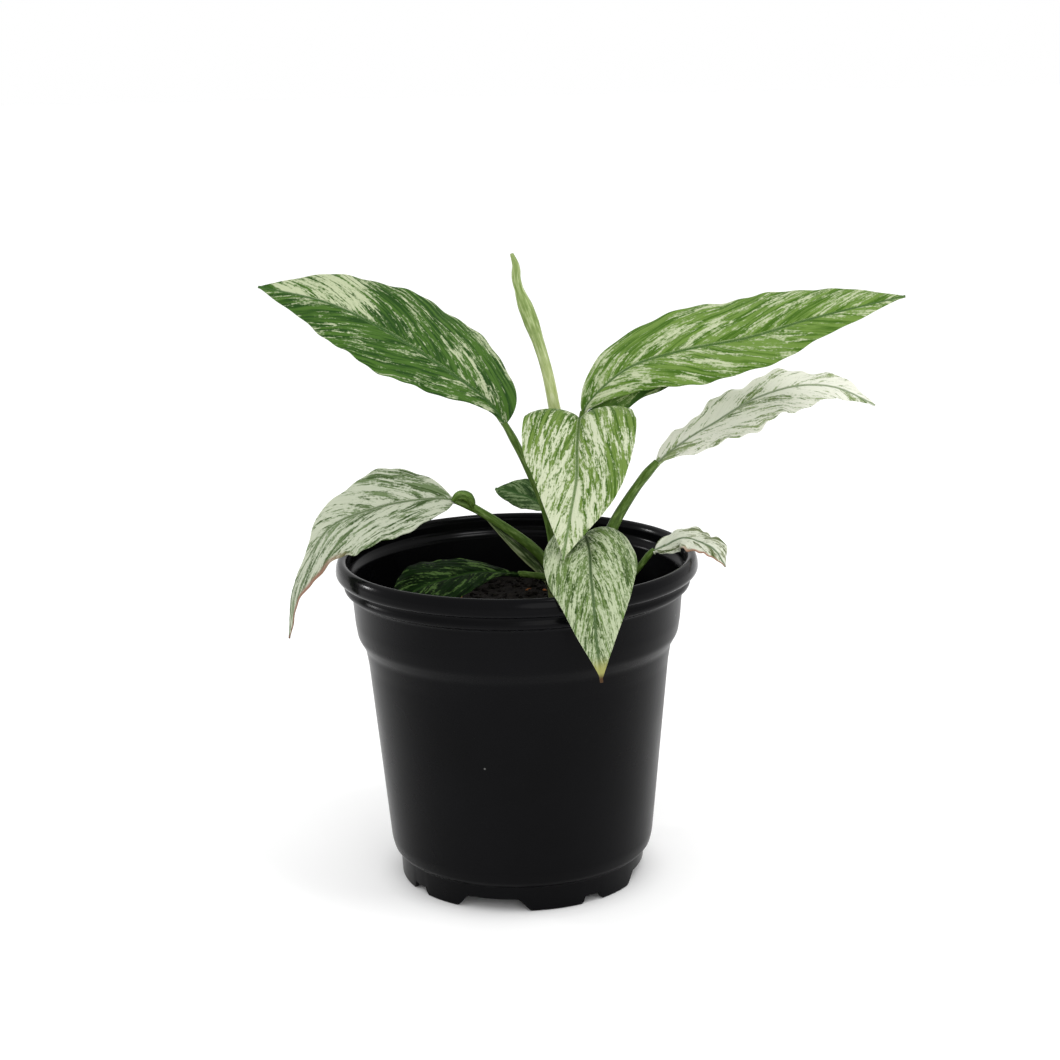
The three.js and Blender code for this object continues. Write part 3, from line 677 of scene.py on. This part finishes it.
def make_sheath(leaf, start, end, depth, drop):
    """A thin wing along a stalk, hanging towards drop, between two shares of the stalk's length."""
    path, base = leaf_path(leaf)
    steps, cells = 60, 6
    t = np.linspace(0, 1, steps + 1)
    run = base * (start + (end - start) * t)
    centre, ahead = path.at(run), path.ahead(run)
    drop = np.array(drop, float)
    down = unit(drop - ahead * (ahead @ drop)[:, None])
    flat = np.cross(ahead, down)
    width = depth * np.sin(math.pi * t**0.8) ** 0.7 + 0.05
    u = np.linspace(0, 1, cells + 1)
    middle = centre[:, None] + down[:, None] * (0.9 + width[:, None] * u)[..., None]
    middle = middle + flat[:, None] * (0.5 * u**2 * np.sin(9 * t)[:, None])[..., None]
    thin = (0.28 - 0.12 * u)[None, :, None]
    front, back = middle + flat[:, None] * thin, middle - flat[:, None] * thin
    rings = np.concatenate([front, back[:, ::-1]], 1)
    sides = rings.shape[1]
    faces = [f[::-1] for f in ring_faces(steps + 1, sides)]
    spots = np.stack([np.repeat(0.4 + 0.3 * t, sides), np.tile(np.r_[u, u[::-1]], steps + 1),
                      np.zeros(rings.shape[0] * sides)], -1)
    obj = make_object("sheath_" + leaf["name"], rings.reshape(-1, 3), faces, SHEATH,
                      attributes={"place": spots})
    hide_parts("stalk_" + leaf["name"])


for index, leaf in enumerate(LEAVES):
    make_blade(leaf, index)
    make_stalk(leaf)

LEAF = {leaf["name"]: leaf for leaf in LEAVES}
make_sheath(LEAF["mid_left"], 0.1, 0.78, 4.6, (-0.3, -0.6, -1))
make_sheath(LEAF["low_left"], 0.1, 0.7, 1.4, (0, -0.3, -1))
make_sheath(LEAF["upper_left"], 0.02, 0.3, 1.6, (-1, -0.4, 0))
make_sheath(LEAF["mid_right"], 0.02, 0.35, 1.8, (0.3, -1, -0.6))


FLAP_DROP = 7.5
FLAP_LENGTH = 0.34  # share of the blade
FLAP_LOOK = dict(LOOK, greens=[(48, 82, 22), (84, 116, 46), (166, 182, 128)], pale=-0.03, short=1.6)


def make_flap(leaf, index):
    """The ruffled lobe hanging under the lower edge of a blade, next to its stalk."""
    points, origin = blade_grid(leaf)[:2]
    normal = upper_side(points)
    rows = slice(1, int(FLAP_LENGTH * STATIONS))
    inset = CELLS // 4
    column = inset if points[rows, 0, 2].mean() < points[rows, -1, 2].mean() else 2 * CELLS - inset
    edge = points[rows, column] - 0.9 * normal[rows, column]
    steps, cells = len(edge), 10
    t = np.linspace(0, 1, steps)
    u = np.linspace(0, 1, cells + 1)
    drop = FLAP_DROP * np.sin(math.pi * t**0.6) ** 0.8 * (1 + 0.12 * np.sin(16 * t)) + 0.2
    down = unit(np.array([-0.35, -0.1, -1.0]))
    ruffle = 1.1 * np.sin(13 * t)[:, None] * u**1.5
    middle = edge[:, None] + (drop[:, None] * u)[..., None] * down
    middle = middle + (ruffle + 1.5 * u * (1 - u))[..., None] * np.array([0.0, 1.0, 0.0])
    thin = np.array([0.0, 0.2, 0.0])
    rings = np.concatenate([middle - thin, (middle + thin)[:, ::-1]], 1)
    sides = rings.shape[1]
    across = np.tile(np.r_[u, u[::-1]], steps)
    where = np.repeat(t, sides)
    start = origin[rows, column].repeat(sides) + 3 * across
    vein = np.stack([start, FLAP_DROP * across, np.ones_like(where)], -1)
    place = np.stack([where, 0.5 * across, np.zeros_like(where)], -1)
    rib = np.full((len(where), 3), 9.0)
    material = leaf_material("leaf_flap", FLAP_LOOK, index)
    marks = {"vein": vein, "place": place, "rib": rib}
    obj = make_bar("leaf_flap", rings, material, sharp=60, attributes=marks)
    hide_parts("blade_" + leaf["name"])


make_flap(LEAF["upper_right"], len(LEAVES))


def make_rolled_lobe():
    """The small lobe at the base of the mid left blade, rolled up on itself."""
    course = [
        (-20.5, -7.5, 19.6), (-18.6, -7.6, 21.2), (-16.3, -7.4, 21.1), (-14.6, -6.8, 19.2),
        (-14.2, -6.2, 16.8),
    ]
    path = Path([leaf_point(p) for p in course])

    def radii(t):
        return float(np.interp(t, [0, 0.3, 0.6, 0.85, 1], [0.5, 1.5, 1.8, 1.3, 0.5]))

    def section(turn, t):
        return 0.85 + 0.3 * ((turn - 2.0 - 2 * t) % TURN) / TURN

    sides, steps = 32, 40
    rings, t = tube(path, 0, path.length, radii, sides, steps, section)
    obj = make_bar("rolled_lobe", rings, STALK, attributes=tube_marks(0.5 + 0.2 * t, sides))
    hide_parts("blade_mid_left")


make_rolled_lobe()


# ---- Rolled new leaf ----
# A spear in the middle of the plant: points like a leaf's, and radii from foot to tip.
SPEAR = [
    (20, 3, -18), (20, 3, -12), (19, 4, 8), (16, 4, 33), (13, 4, 50), (11, 5, 60), (8.5, 5, 69),
    (5.5, 5, 78), (3, 5, 85), (1.7, 5, 90), (1.6, 4.5, 94.5), (0.4, 4, 98.3),
]
SPEAR_RADII = [
    2.8, 2.5, 2.3, 2.2, 2.1, 2.05, 2, 2, 2, 2.05, 2.1, 2.05, 1.9, 1.8, 1.8, 1.95, 2.5, 2.45, 1.5, 1.5, 0.6,
]


def spear_material():
    sh = Shade("rolled_leaf")
    t, turn, _ = sh.split(sh.attribute("place"))
    vector = sh.join(sh.math("MULTIPLY", turn, 3.0), sh.math("MULTIPLY", t, 7.0), 2.0)
    streak = sh.noise(vector, 2.5, 4.0, 0.6)
    low = sh.ramp(streak, [
        (0.35, srgb(150, 164, 100)), (0.55, srgb(180, 190, 138)), (0.7, srgb(205, 210, 170)),
    ])
    high = sh.ramp(streak, [
        (0.35, srgb(104, 126, 62)), (0.52, srgb(140, 158, 98)), (0.7, srgb(190, 200, 156)),
    ])
    colour = sh.mix(sh.step(t, 0.6, 0.8), low, high)
    body = sh.principled(0.15, Base_Color=colour, Roughness=0.45, Normal=sh.bump(streak, 0.3, 0.0002),
                         Subsurface_Weight=0.1, Subsurface_Radius=TISSUE_DEPTH)
    return sh.surface(body.outputs[0])


def make_spear():
    path = Path([leaf_point(p) for p in SPEAR])
    sides, steps = 40, 150

    def radii(t):
        return float(np.interp(t, np.linspace(0, 1, len(SPEAR_RADII)), SPEAR_RADII))

    def section(turn, t):
        """A rolled sheet: the radius grows round the roll and steps back at its free edge."""
        free = (1.2 + 5.5 * t) % TURN
        round_ = ((turn - free) % TURN) / TURN
        return 0.9 + 0.16 * round_ * min(1.0, 3 * t)

    rings, t = tube(path, 0, path.length, radii, sides, steps, section)
    obj = make_bar("new_leaf", rings, spear_material(), 30, tube_marks(t, sides))
    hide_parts("rolled_new_leaf")


make_spear()


# ---- Pot ----
def pot_material():
    sh = Shade("pot_plastic")
    where = sh.add("TexCoord").outputs["Object"]
    smudge = sh.noise(where, 22.0, 4.0, 0.6)
    fine = sh.noise(where, 900.0, 3.0, 0.6)
    colour = sh.ramp(smudge, [(0.3, srgb(5, 5, 6)), (0.7, srgb(9, 9, 11))])
    dust = sh.add("TexVoronoi", Vector=where, Scale=95.0)
    speck = sh.step(dust.outputs["Distance"], 0.05, 0.02)
    kept = sh.step(sh.split(dust.outputs["Color"])[0], 0.82, 0.83)
    colour = sh.mix(sh.math("MULTIPLY", sh.math("MULTIPLY", speck, kept), 0.7), colour, srgb(120, 120, 118))
    worn = sh.noise(where, 9.0, 5.0, 0.65)
    height = sh.add("SeparateXYZ", Vector=where).outputs["Z"]
    lip = sh.step(height, (HEIGHT - 9) * MM, (HEIGHT - 6) * MM)
    rough = sh.math("SUBTRACT", sh.scaled(worn, 0.45, 0.07), sh.scaled(lip, 0.13))
    body = sh.principled(0.06, Base_Color=colour, Roughness=rough, Normal=sh.bump(fine, 0.18, 0.0001))
    return sh.surface(body.outputs[0])


POT_SEGMENTS = 360
# Notches in the foot ring: centre in degrees from the front, half widths below and above, height.
NOTCHES = [(-14, 12.5, 8.75, 4.0), (34, 3.8, 3.0, 2.4)]
NOTCH_LEVEL = 4.1  # rows of points below this follow the notches


def notch_height(turn):
    """How high the foot ring is cut away at each turn from the front."""
    cut = np.zeros_like(turn)
    for centre, wide, narrow, height in NOTCHES:
        off = (turn - math.radians(centre) + TURN / 8) % (TURN / 4) - TURN / 8
        cut = np.maximum(cut, height * np.clip((wide - np.abs(off) * FOOT) / (wide - narrow), 0, 1))
    return cut


DRAIN_COUNT = 8
DRAIN_RADIUS = 4
DRAIN_RING = 0.72 * FOOT
DRAIN_BAND = 6  # half the width of the floor ring that the holes are cut in


def drain_holes(points, top_rows, under_rows):
    """The floor ring with its drain holes: points of the hole edges, and all the faces."""
    share = POT_SEGMENTS // DRAIN_COUNT
    flat = points.reshape(-1, 3)
    spots, faces = [], []
    for k in range(DRAIN_COUNT):
        turn = TURN * k / DRAIN_COUNT
        middle = DRAIN_RING * np.array([math.sin(turn), -math.cos(turn)])
        columns = [(k * share + j) % POT_SEGMENTS for j in range(-(share // 2), share - share // 2 + 1)]
        top, under = (
            [high * POT_SEGMENTS + c for c in columns] + [low * POT_SEGMENTS + c for c in columns[::-1]]
            for high, low in (top_rows, under_rows)
        )
        rim = middle + DRAIN_RADIUS * unit(flat[top, :2] - middle)
        first = len(flat) + len(spots)
        count = len(top)
        spots += [(x, y, FLOOR + WALL) for x, y in rim] + [(x, y, FLOOR) for x, y in rim]
        for i in range(count):
            n = (i + 1) % count
            faces.append((top[i], top[n], first + n, first + i))
            faces.append((under[n], under[i], first + count + i, first + count + n))
            faces.append((first + i, first + n, first + count + n, first + count + i))
    return spots, faces


def make_pot():
    """The pot as one turned skin, from its foot up and over the lip, and down inside to its floor."""
    top = COLLAR - 3.8
    foot_wall = FOOT + 3.3
    outer = [
        (FOOT - 0.15, 0.1), (FOOT + 0.05, 0.45), (FOOT + 0.5, FOOT_HEIGHT), (FOOT + 1.3, FOOT_HEIGHT + 0.5),
        (FOOT + 2.5, FOOT_HEIGHT + 1.8), (foot_wall, FOOT_HEIGHT + 5), (top - 0.7, COLLAR_FOOT - 6),
        (top + 0.3, COLLAR_FOOT), (COLLAR - 1.2, COLLAR_FOOT + 4),
        (COLLAR - 0.5, COLLAR_FOOT + 8.5), (COLLAR + 0.3, HEIGHT - 11.2), (COLLAR + 2.6, HEIGHT - 10.2),
        (COLLAR + 3, HEIGHT - 9), (COLLAR + 2.4, HEIGHT - 7.6), (COLLAR + 2.4, HEIGHT - 6.6),
        (LIP - 0.6, HEIGHT - 5.8), (LIP, HEIGHT - 4.6), (LIP - 0.2, HEIGHT - 2.4), (LIP - 0.9, HEIGHT - 0.7),
        (LIP - 2, HEIGHT), (LIP - 3.4, HEIGHT - 0.5), (LIP - 4, HEIGHT - 2), (LIP - 4.2, HEIGHT - 5.4),
        (COLLAR - WALL + 0.8, HEIGHT - 7), (COLLAR - WALL - 0.4, COLLAR_FOOT + 9.5),
        (COLLAR - WALL - 1.3, COLLAR_FOOT + 4.6), (top - WALL, COLLAR_FOOT),
        (foot_wall - WALL, FOOT_HEIGHT + 5.5), (FOOT + 0.9 - WALL, FOOT_HEIGHT + 0.5),
        (FOOT + 0.3 - WALL, FLOOR + WALL), (DRAIN_RING + DRAIN_BAND, FLOOR + WALL),
    ]
    floor = [
        (DRAIN_RING - DRAIN_BAND, FLOOR + WALL), (DRAIN_RADIUS, FLOOR + WALL), (DRAIN_RADIUS, FLOOR),
        (DRAIN_RING - DRAIN_BAND, FLOOR), (DRAIN_RING + DRAIN_BAND, FLOOR),
    ]
    rounded = soften(outer, 1.1)
    profile = rounded + floor + [(FOOT - WALL, FLOOR), (FOOT - WALL, 0.1)]
    turn = TURN * np.arange(POT_SEGMENTS) / POT_SEGMENTS
    cut = notch_height(turn)
    rows = []
    for r, z in profile:
        height = np.full_like(turn, z)
        if z < NOTCH_LEVEL:
            bevel = 0.35 if 0.2 < z < 1 else 0.0
            height = np.maximum(z, cut + bevel)
        rows.append(np.stack([r * np.sin(turn), -r * np.cos(turn), height], -1))
    points = np.array(rows)
    high_top = len(rounded) - 1
    low_top, low_under, high_under = high_top + 1, high_top + 4, high_top + 5
    plain = ring_faces(len(profile), POT_SEGMENTS, closed_rows=True)
    faces = [f for i, f in enumerate(plain) if i // POT_SEGMENTS not in (high_top, low_under)]
    spots, cut_faces = drain_holes(points, (high_top, low_top), (high_under, low_under))
    pot = make_object("pot", np.vstack([points.reshape(-1, 3), spots]), faces + cut_faces,
                      POT_PLASTIC, sharp=38)
    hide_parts("nursery_pot")


POT_PLASTIC = pot_material()
make_pot()


# ---- Soil ----
def soil_material(name, dark, light):
    sh = Shade(name)
    where = sh.add("TexCoord").outputs["Object"]
    lumps = sh.noise(where, 350.0, 5.0, 0.7)
    colour = sh.ramp(lumps, [(0.3, srgb(*dark)), (0.62, srgb(*light))])
    grain = sh.noise(where, 1500.0, 4.0, 0.7)
    body = sh.principled(0.2, Base_Color=colour, Roughness=0.95, Normal=sh.bump(grain, 0.8, 0.0006))
    return sh.surface(body.outputs[0])


SOIL_EDGE = 52.4  # where the mix meets the collar
SOIL_WALL = [(50.6, COLLAR_FOOT + 4.6), (48.9, COLLAR_FOOT), (42.5, 14), (40.1, 9), (39.5, 6.4)]
SOIL_SEGMENTS = 200
HOLLOW = 10.6  # the crown's radius in the soil, with its clearance


def soil_surface(x, y):
    """Height of the soil at a point, in mm."""
    heave = 0.8 * math.sin(x / 6) * math.cos(y / 7) + 0.5 * math.sin((x + 2 * y) / 9)
    rough = noise.turbulence(Vector((x / 4, y / 4, 3.0)), 4, False) - 0.5
    return SOIL_TOP + heave + 0.9 * rough - 0.3


def make_soil():
    """Potting mix that fills the pot: rings over its rough top, then down its side."""
    radii = [*np.linspace(0.5, 49, 66), 50.6, SOIL_EDGE]
    points = []
    for r in radii:
        for k in range(SOIL_SEGMENTS):
            a = TURN * k / SOIL_SEGMENTS
            x, y = r * math.cos(a), r * math.sin(a)
            z = soil_surface(x, y) if r < SOIL_EDGE - 1 else SOIL_TOP - 1
            points.append((x, y, z))
    for r, z in SOIL_WALL:
        for k in range(SOIL_SEGMENTS):
            a = TURN * k / SOIL_SEGMENTS
            points.append((r * math.cos(a), r * math.sin(a), z))
    faces = [f[::-1] for f in ring_faces(len(radii) + len(SOIL_WALL), SOIL_SEGMENTS)]
    obj = make_object("soil", points, faces, SOIL, sharp=180)
    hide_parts("potting_soil")


SOIL = soil_material("soil", (5, 4, 4), (24, 19, 15))
BARK = soil_material("bark", (84, 48, 24), (150, 92, 48))
make_soil()


def lump(rng, centre, size, stretch):
    """A small irregular body, as points and faces."""
    rings, sides = 4, 6
    points, faces = [(0, 0, -1)], []
    for i in range(1, rings):
        tilt = math.pi * i / rings - math.pi / 2
        for k in range(sides):
            a = TURN * (k + 0.5 * (i % 2)) / sides
            points.append((math.cos(tilt) * math.cos(a), math.cos(tilt) * math.sin(a), math.sin(tilt)))
    points.append((0, 0, 1))
    for k in range(sides):
        n = (k + 1) % sides
        faces.append((0, 1 + n, 1 + k))
        for i in range(rings - 2):
            a, b = 1 + i * sides, 1 + (i + 1) * sides
            faces.append((a + k, a + n, b + n, b + k))
        top = 1 + (rings - 2) * sides
        faces.append((top + k, top + n, len(points) - 1))
    spin = Matrix.Rotation(rng.uniform(0, TURN), 3, "Z") @ Matrix.Rotation(rng.uniform(-0.5, 0.5), 3, "X")
    out = []
    for p in points:
        wobble = 1 + rng.uniform(-0.25, 0.25)
        v = spin @ Vector((p[0] * stretch[0], p[1] * stretch[1], p[2] * stretch[2]))
        out.append(tuple(Vector(centre) + v * (size * wobble)))
    return out, faces


def scatter(name, material, number, low, high, stretch, seed):
    """Lumps of random sizes between low and high, lying on the soil outside the crown."""
    rng = random.Random(seed)
    points, faces = [], []
    for _ in range(number):
        while True:
            r, a = 51 * math.sqrt(rng.random()), rng.uniform(0, TURN)
            x, y = r * math.cos(a), r * math.sin(a)
            if math.hypot(x - CROWN[0], y - CROWN[1]) > HOLLOW + 1.5:
                break
        size = low + (high - low) * rng.random() ** 2
        p, f = lump(rng, (x, y, soil_surface(x, y) + 0.25 * size), size, stretch)
        faces += [tuple(len(points) + k for k in face) for face in f]
        points += p
    make_object(name, points, faces, material, sharp=50)


scatter("soil_crumbs", SOIL, 900, 0.5, 1.9, (1, 1, 0.8), SEED)
scatter("bark_chips", BARK, 16, 0.7, 1.6, (1.8, 0.8, 0.4), SEED + 1)


# ---- Crown ----
def crown_material():
    """Pale stem base with brown, papery scars where old leaves stood."""
    sh = Shade("crown")
    where = sh.add("TexCoord").outputs["Object"]
    fibres = sh.noise(where, 500.0, 4.0, 0.7)
    scars = sh.noise(sh.add("Mapping", Vector=where, Scale=(90.0, 90.0, 900.0)).outputs[0], 1.0, 3.0)
    colour = sh.ramp(fibres, [
        (0.35, srgb(78, 84, 36)), (0.55, srgb(120, 128, 66)), (0.7, srgb(158, 158, 100)),
    ])
    colour = sh.mix(sh.step(scars, 0.52, 0.6), colour, srgb(92, 62, 34))
    body = sh.principled(0.2, Base_Color=colour, Roughness=0.65, Normal=sh.bump(fibres, 0.6, 0.0004))
    return sh.surface(body.outputs[0])


CROWN_SIDES = 72
# Outline of the crown: shares of its radius and, below and above the soil, of its depth and rise.
CROWN_BELOW = [(0.3, 0.94), (0.5, 0.85), (0.72, 0.66), (0.9, 0.45), (0.97, 0.2)]
CROWN_ABOVE = [
    (0.97, 0.25), (0.9, 0.5), (0.78, 0.68), (0.64, 0.8), (0.5, 0.88), (0.35, 0.93), (0.2, 0.95),
]
ROOT_COUNT = 7
ROOT_RADIUS = 1.5
ROOT_SIDES = 12
ROOT_STEPS = 40
ROOT_COURSE = [(0.08, 0), (0.3, 0.12), (0.55, 0.4), (0.7, 0.9)]  # shares of the foot and of the depth


def make_crown():
    """A lumpy stem base with ringed leaf scars."""
    profile = [(1.2, -CROWN_DEPTH)]
    profile += [(r * CROWN_RADIUS, -z * CROWN_DEPTH) for r, z in CROWN_BELOW]
    profile += [(CROWN_RADIUS - 0.3, 0)]
    profile += [(r * CROWN_RADIUS, z * CROWN_RISE) for r, z in CROWN_ABOVE]
    profile += [(0.6, 0.96 * CROWN_RISE)]
    points = []
    for row, (r, z) in enumerate(profile):
        for k in range(CROWN_SIDES):
            a = TURN * k / CROWN_SIDES
            lumps = noise.noise(Vector((2.2 * math.cos(a), 2.2 * math.sin(a), 0.25 * z)))
            scar = 0.03 * math.sin(2.1 * z + 1.5 * math.sin(a + row))
            reach = r * (0.95 + 0.05 * lumps + scar)
            points.append((CROWN[0] + reach * math.cos(a), CROWN[1] + reach * math.sin(a), SOIL_TOP + z))
    faces = ring_faces(len(profile), CROWN_SIDES)
    obj = make_object("crown", points, faces, CROWN_TISSUE, sharp=60)
    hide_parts("crown_with_roots")


def root_radius(t):
    return ROOT_RADIUS * (1 - 0.5 * t)


def make_roots():
    """Fleshy roots from the underside of the crown through the soil."""
    for k in range(ROOT_COUNT):
        turn = (k + 0.5) * TURN / ROOT_COUNT
        course = []
        for reach, depth in ROOT_COURSE:
            x = CROWN[0] * (1 - depth) + reach * FOOT * math.cos(turn)
            y = CROWN[1] * (1 - depth) + reach * FOOT * math.sin(turn)
            z = (SOIL_TOP - 5) * (1 - depth) + (FLOOR + WALL + 8) * depth
            course.append((x, y, z))
        path = Path(course)
        rings, _ = tube(path, 0, path.length, root_radius, ROOT_SIDES, ROOT_STEPS)
        obj = make_bar("root_%d" % k, rings, CROWN_TISSUE)
        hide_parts("crown_with_roots")


CROWN_TISSUE = crown_material()
make_crown()
make_roots()


# ---- Floor, lights and camera ----
FLOOR_SIZE = 12  # in metres
FLOOR_GLOW = 0.18  # glow that lifts the floor to the white of the studio; it is held back under the pot, which paints a shadow there
PAINTED_POT_SHADOW = (0.036, 0.052)  # painted shadow under the pot: where the floor's glow starts and is full, in metres from the axis


def floor_material():
    sh = Shade("studio_floor")
    where = sh.add("TexCoord").outputs["Object"]
    colour = sh.ramp(sh.noise(where, 6.0, 3.0), [(0.3, (0.88, 0.88, 0.88, 1)), (0.7, (0.91, 0.91, 0.91, 1))])
    away = sh.add("VectorMath", operation="LENGTH", i0=where).outputs["Value"]
    # the floor's glow fades out towards the pot's axis: a painted shadow under the pot
    glow = sh.scaled(sh.step(away, *PAINTED_POT_SHADOW), FLOOR_GLOW)
    body = sh.principled(0.2, Base_Color=colour, Roughness=0.8, Emission_Strength=glow)
    body.inputs["Emission Color"].default_value = (1, 1, 1, 1)
    return sh.surface(body.outputs[0])


def make_floor():
    half = FLOOR_SIZE / 2
    mesh = bpy.data.meshes.new("floor")
    corners = [(-half, -half, 0), (half, -half, 0), (half, half, 0), (-half, half, 0)]
    mesh.from_pydata(corners, [], [(0, 1, 2, 3)])
    floor = bpy.data.objects.new("floor", mesh)
    floor.location = (AXIS.x, AXIS.y, -0.0001)
    mesh.materials.append(floor_material())
    bpy.context.scene.collection.objects.link(floor)


def area_light(name, spot, target, size, power):
    """A round soft light, in metres and watts."""
    light = bpy.data.lights.new(name, "AREA")
    light.shape = "DISK"
    light.size = size
    light.energy = power
    obj = bpy.data.objects.new(name, light)
    obj.location = spot
    obj.rotation_euler = (Vector(target) - Vector(spot)).to_track_quat("-Z", "Y").to_euler()
    bpy.context.scene.collection.objects.link(obj)


def make_studio():
    world = bpy.data.worlds.new("studio")
    world.use_nodes = True
    background = world.node_tree.nodes["Background"]
    background.inputs["Color"].default_value = (1, 1, 1, 1)
    background.inputs["Strength"].default_value = 1.0
    bpy.context.scene.world = world
    target = (AXIS.x, AXIS.y, 0.12)
    area_light("key", (0.5, -0.35, 1.5), target, 0.4, 5)
    area_light("front", (0.5, -1.7, 0.7), target, 1.0, 5)
    area_light("window", (-1.2, 0.35, 0.36), target, 0.12, 2.4)
    bpy.context.scene.view_settings.view_transform = "Standard"


# The camera looks a little down on the pot from the front. Angles are in radians.
CAMERA_DISTANCE = 727
CAMERA_PITCH = 0.2377
CAMERA_ROLL = -0.0195
CAMERA_TARGET = (4.6, 0, 117.5)
CAMERA_LENS = 74.72


def make_camera():
    ahead = Vector((0, math.cos(CAMERA_PITCH), -math.sin(CAMERA_PITCH)))
    up = Vector((0, math.sin(CAMERA_PITCH), math.cos(CAMERA_PITCH)))
    right = Vector((1, 0, 0))
    x = right * math.cos(CAMERA_ROLL) + up * math.sin(CAMERA_ROLL)
    y = up * math.cos(CAMERA_ROLL) - right * math.sin(CAMERA_ROLL)
    spot = AXIS + (Vector(CAMERA_TARGET) - ahead * CAMERA_DISTANCE) * MM
    data = bpy.data.cameras.new("camera")
    data.lens = CAMERA_LENS
    data.sensor_width = 36
    data.clip_start = 0.05
    camera = bpy.data.objects.new("camera", data)
    rows = [(a, b, -c, d) for a, b, c, d in zip(x, y, ahead, spot)]
    camera.matrix_world = Matrix((*rows, (0, 0, 0, 1)))
    bpy.context.scene.collection.objects.link(camera)
    bpy.context.scene.camera = camera


make_floor()
make_studio()
make_camera()
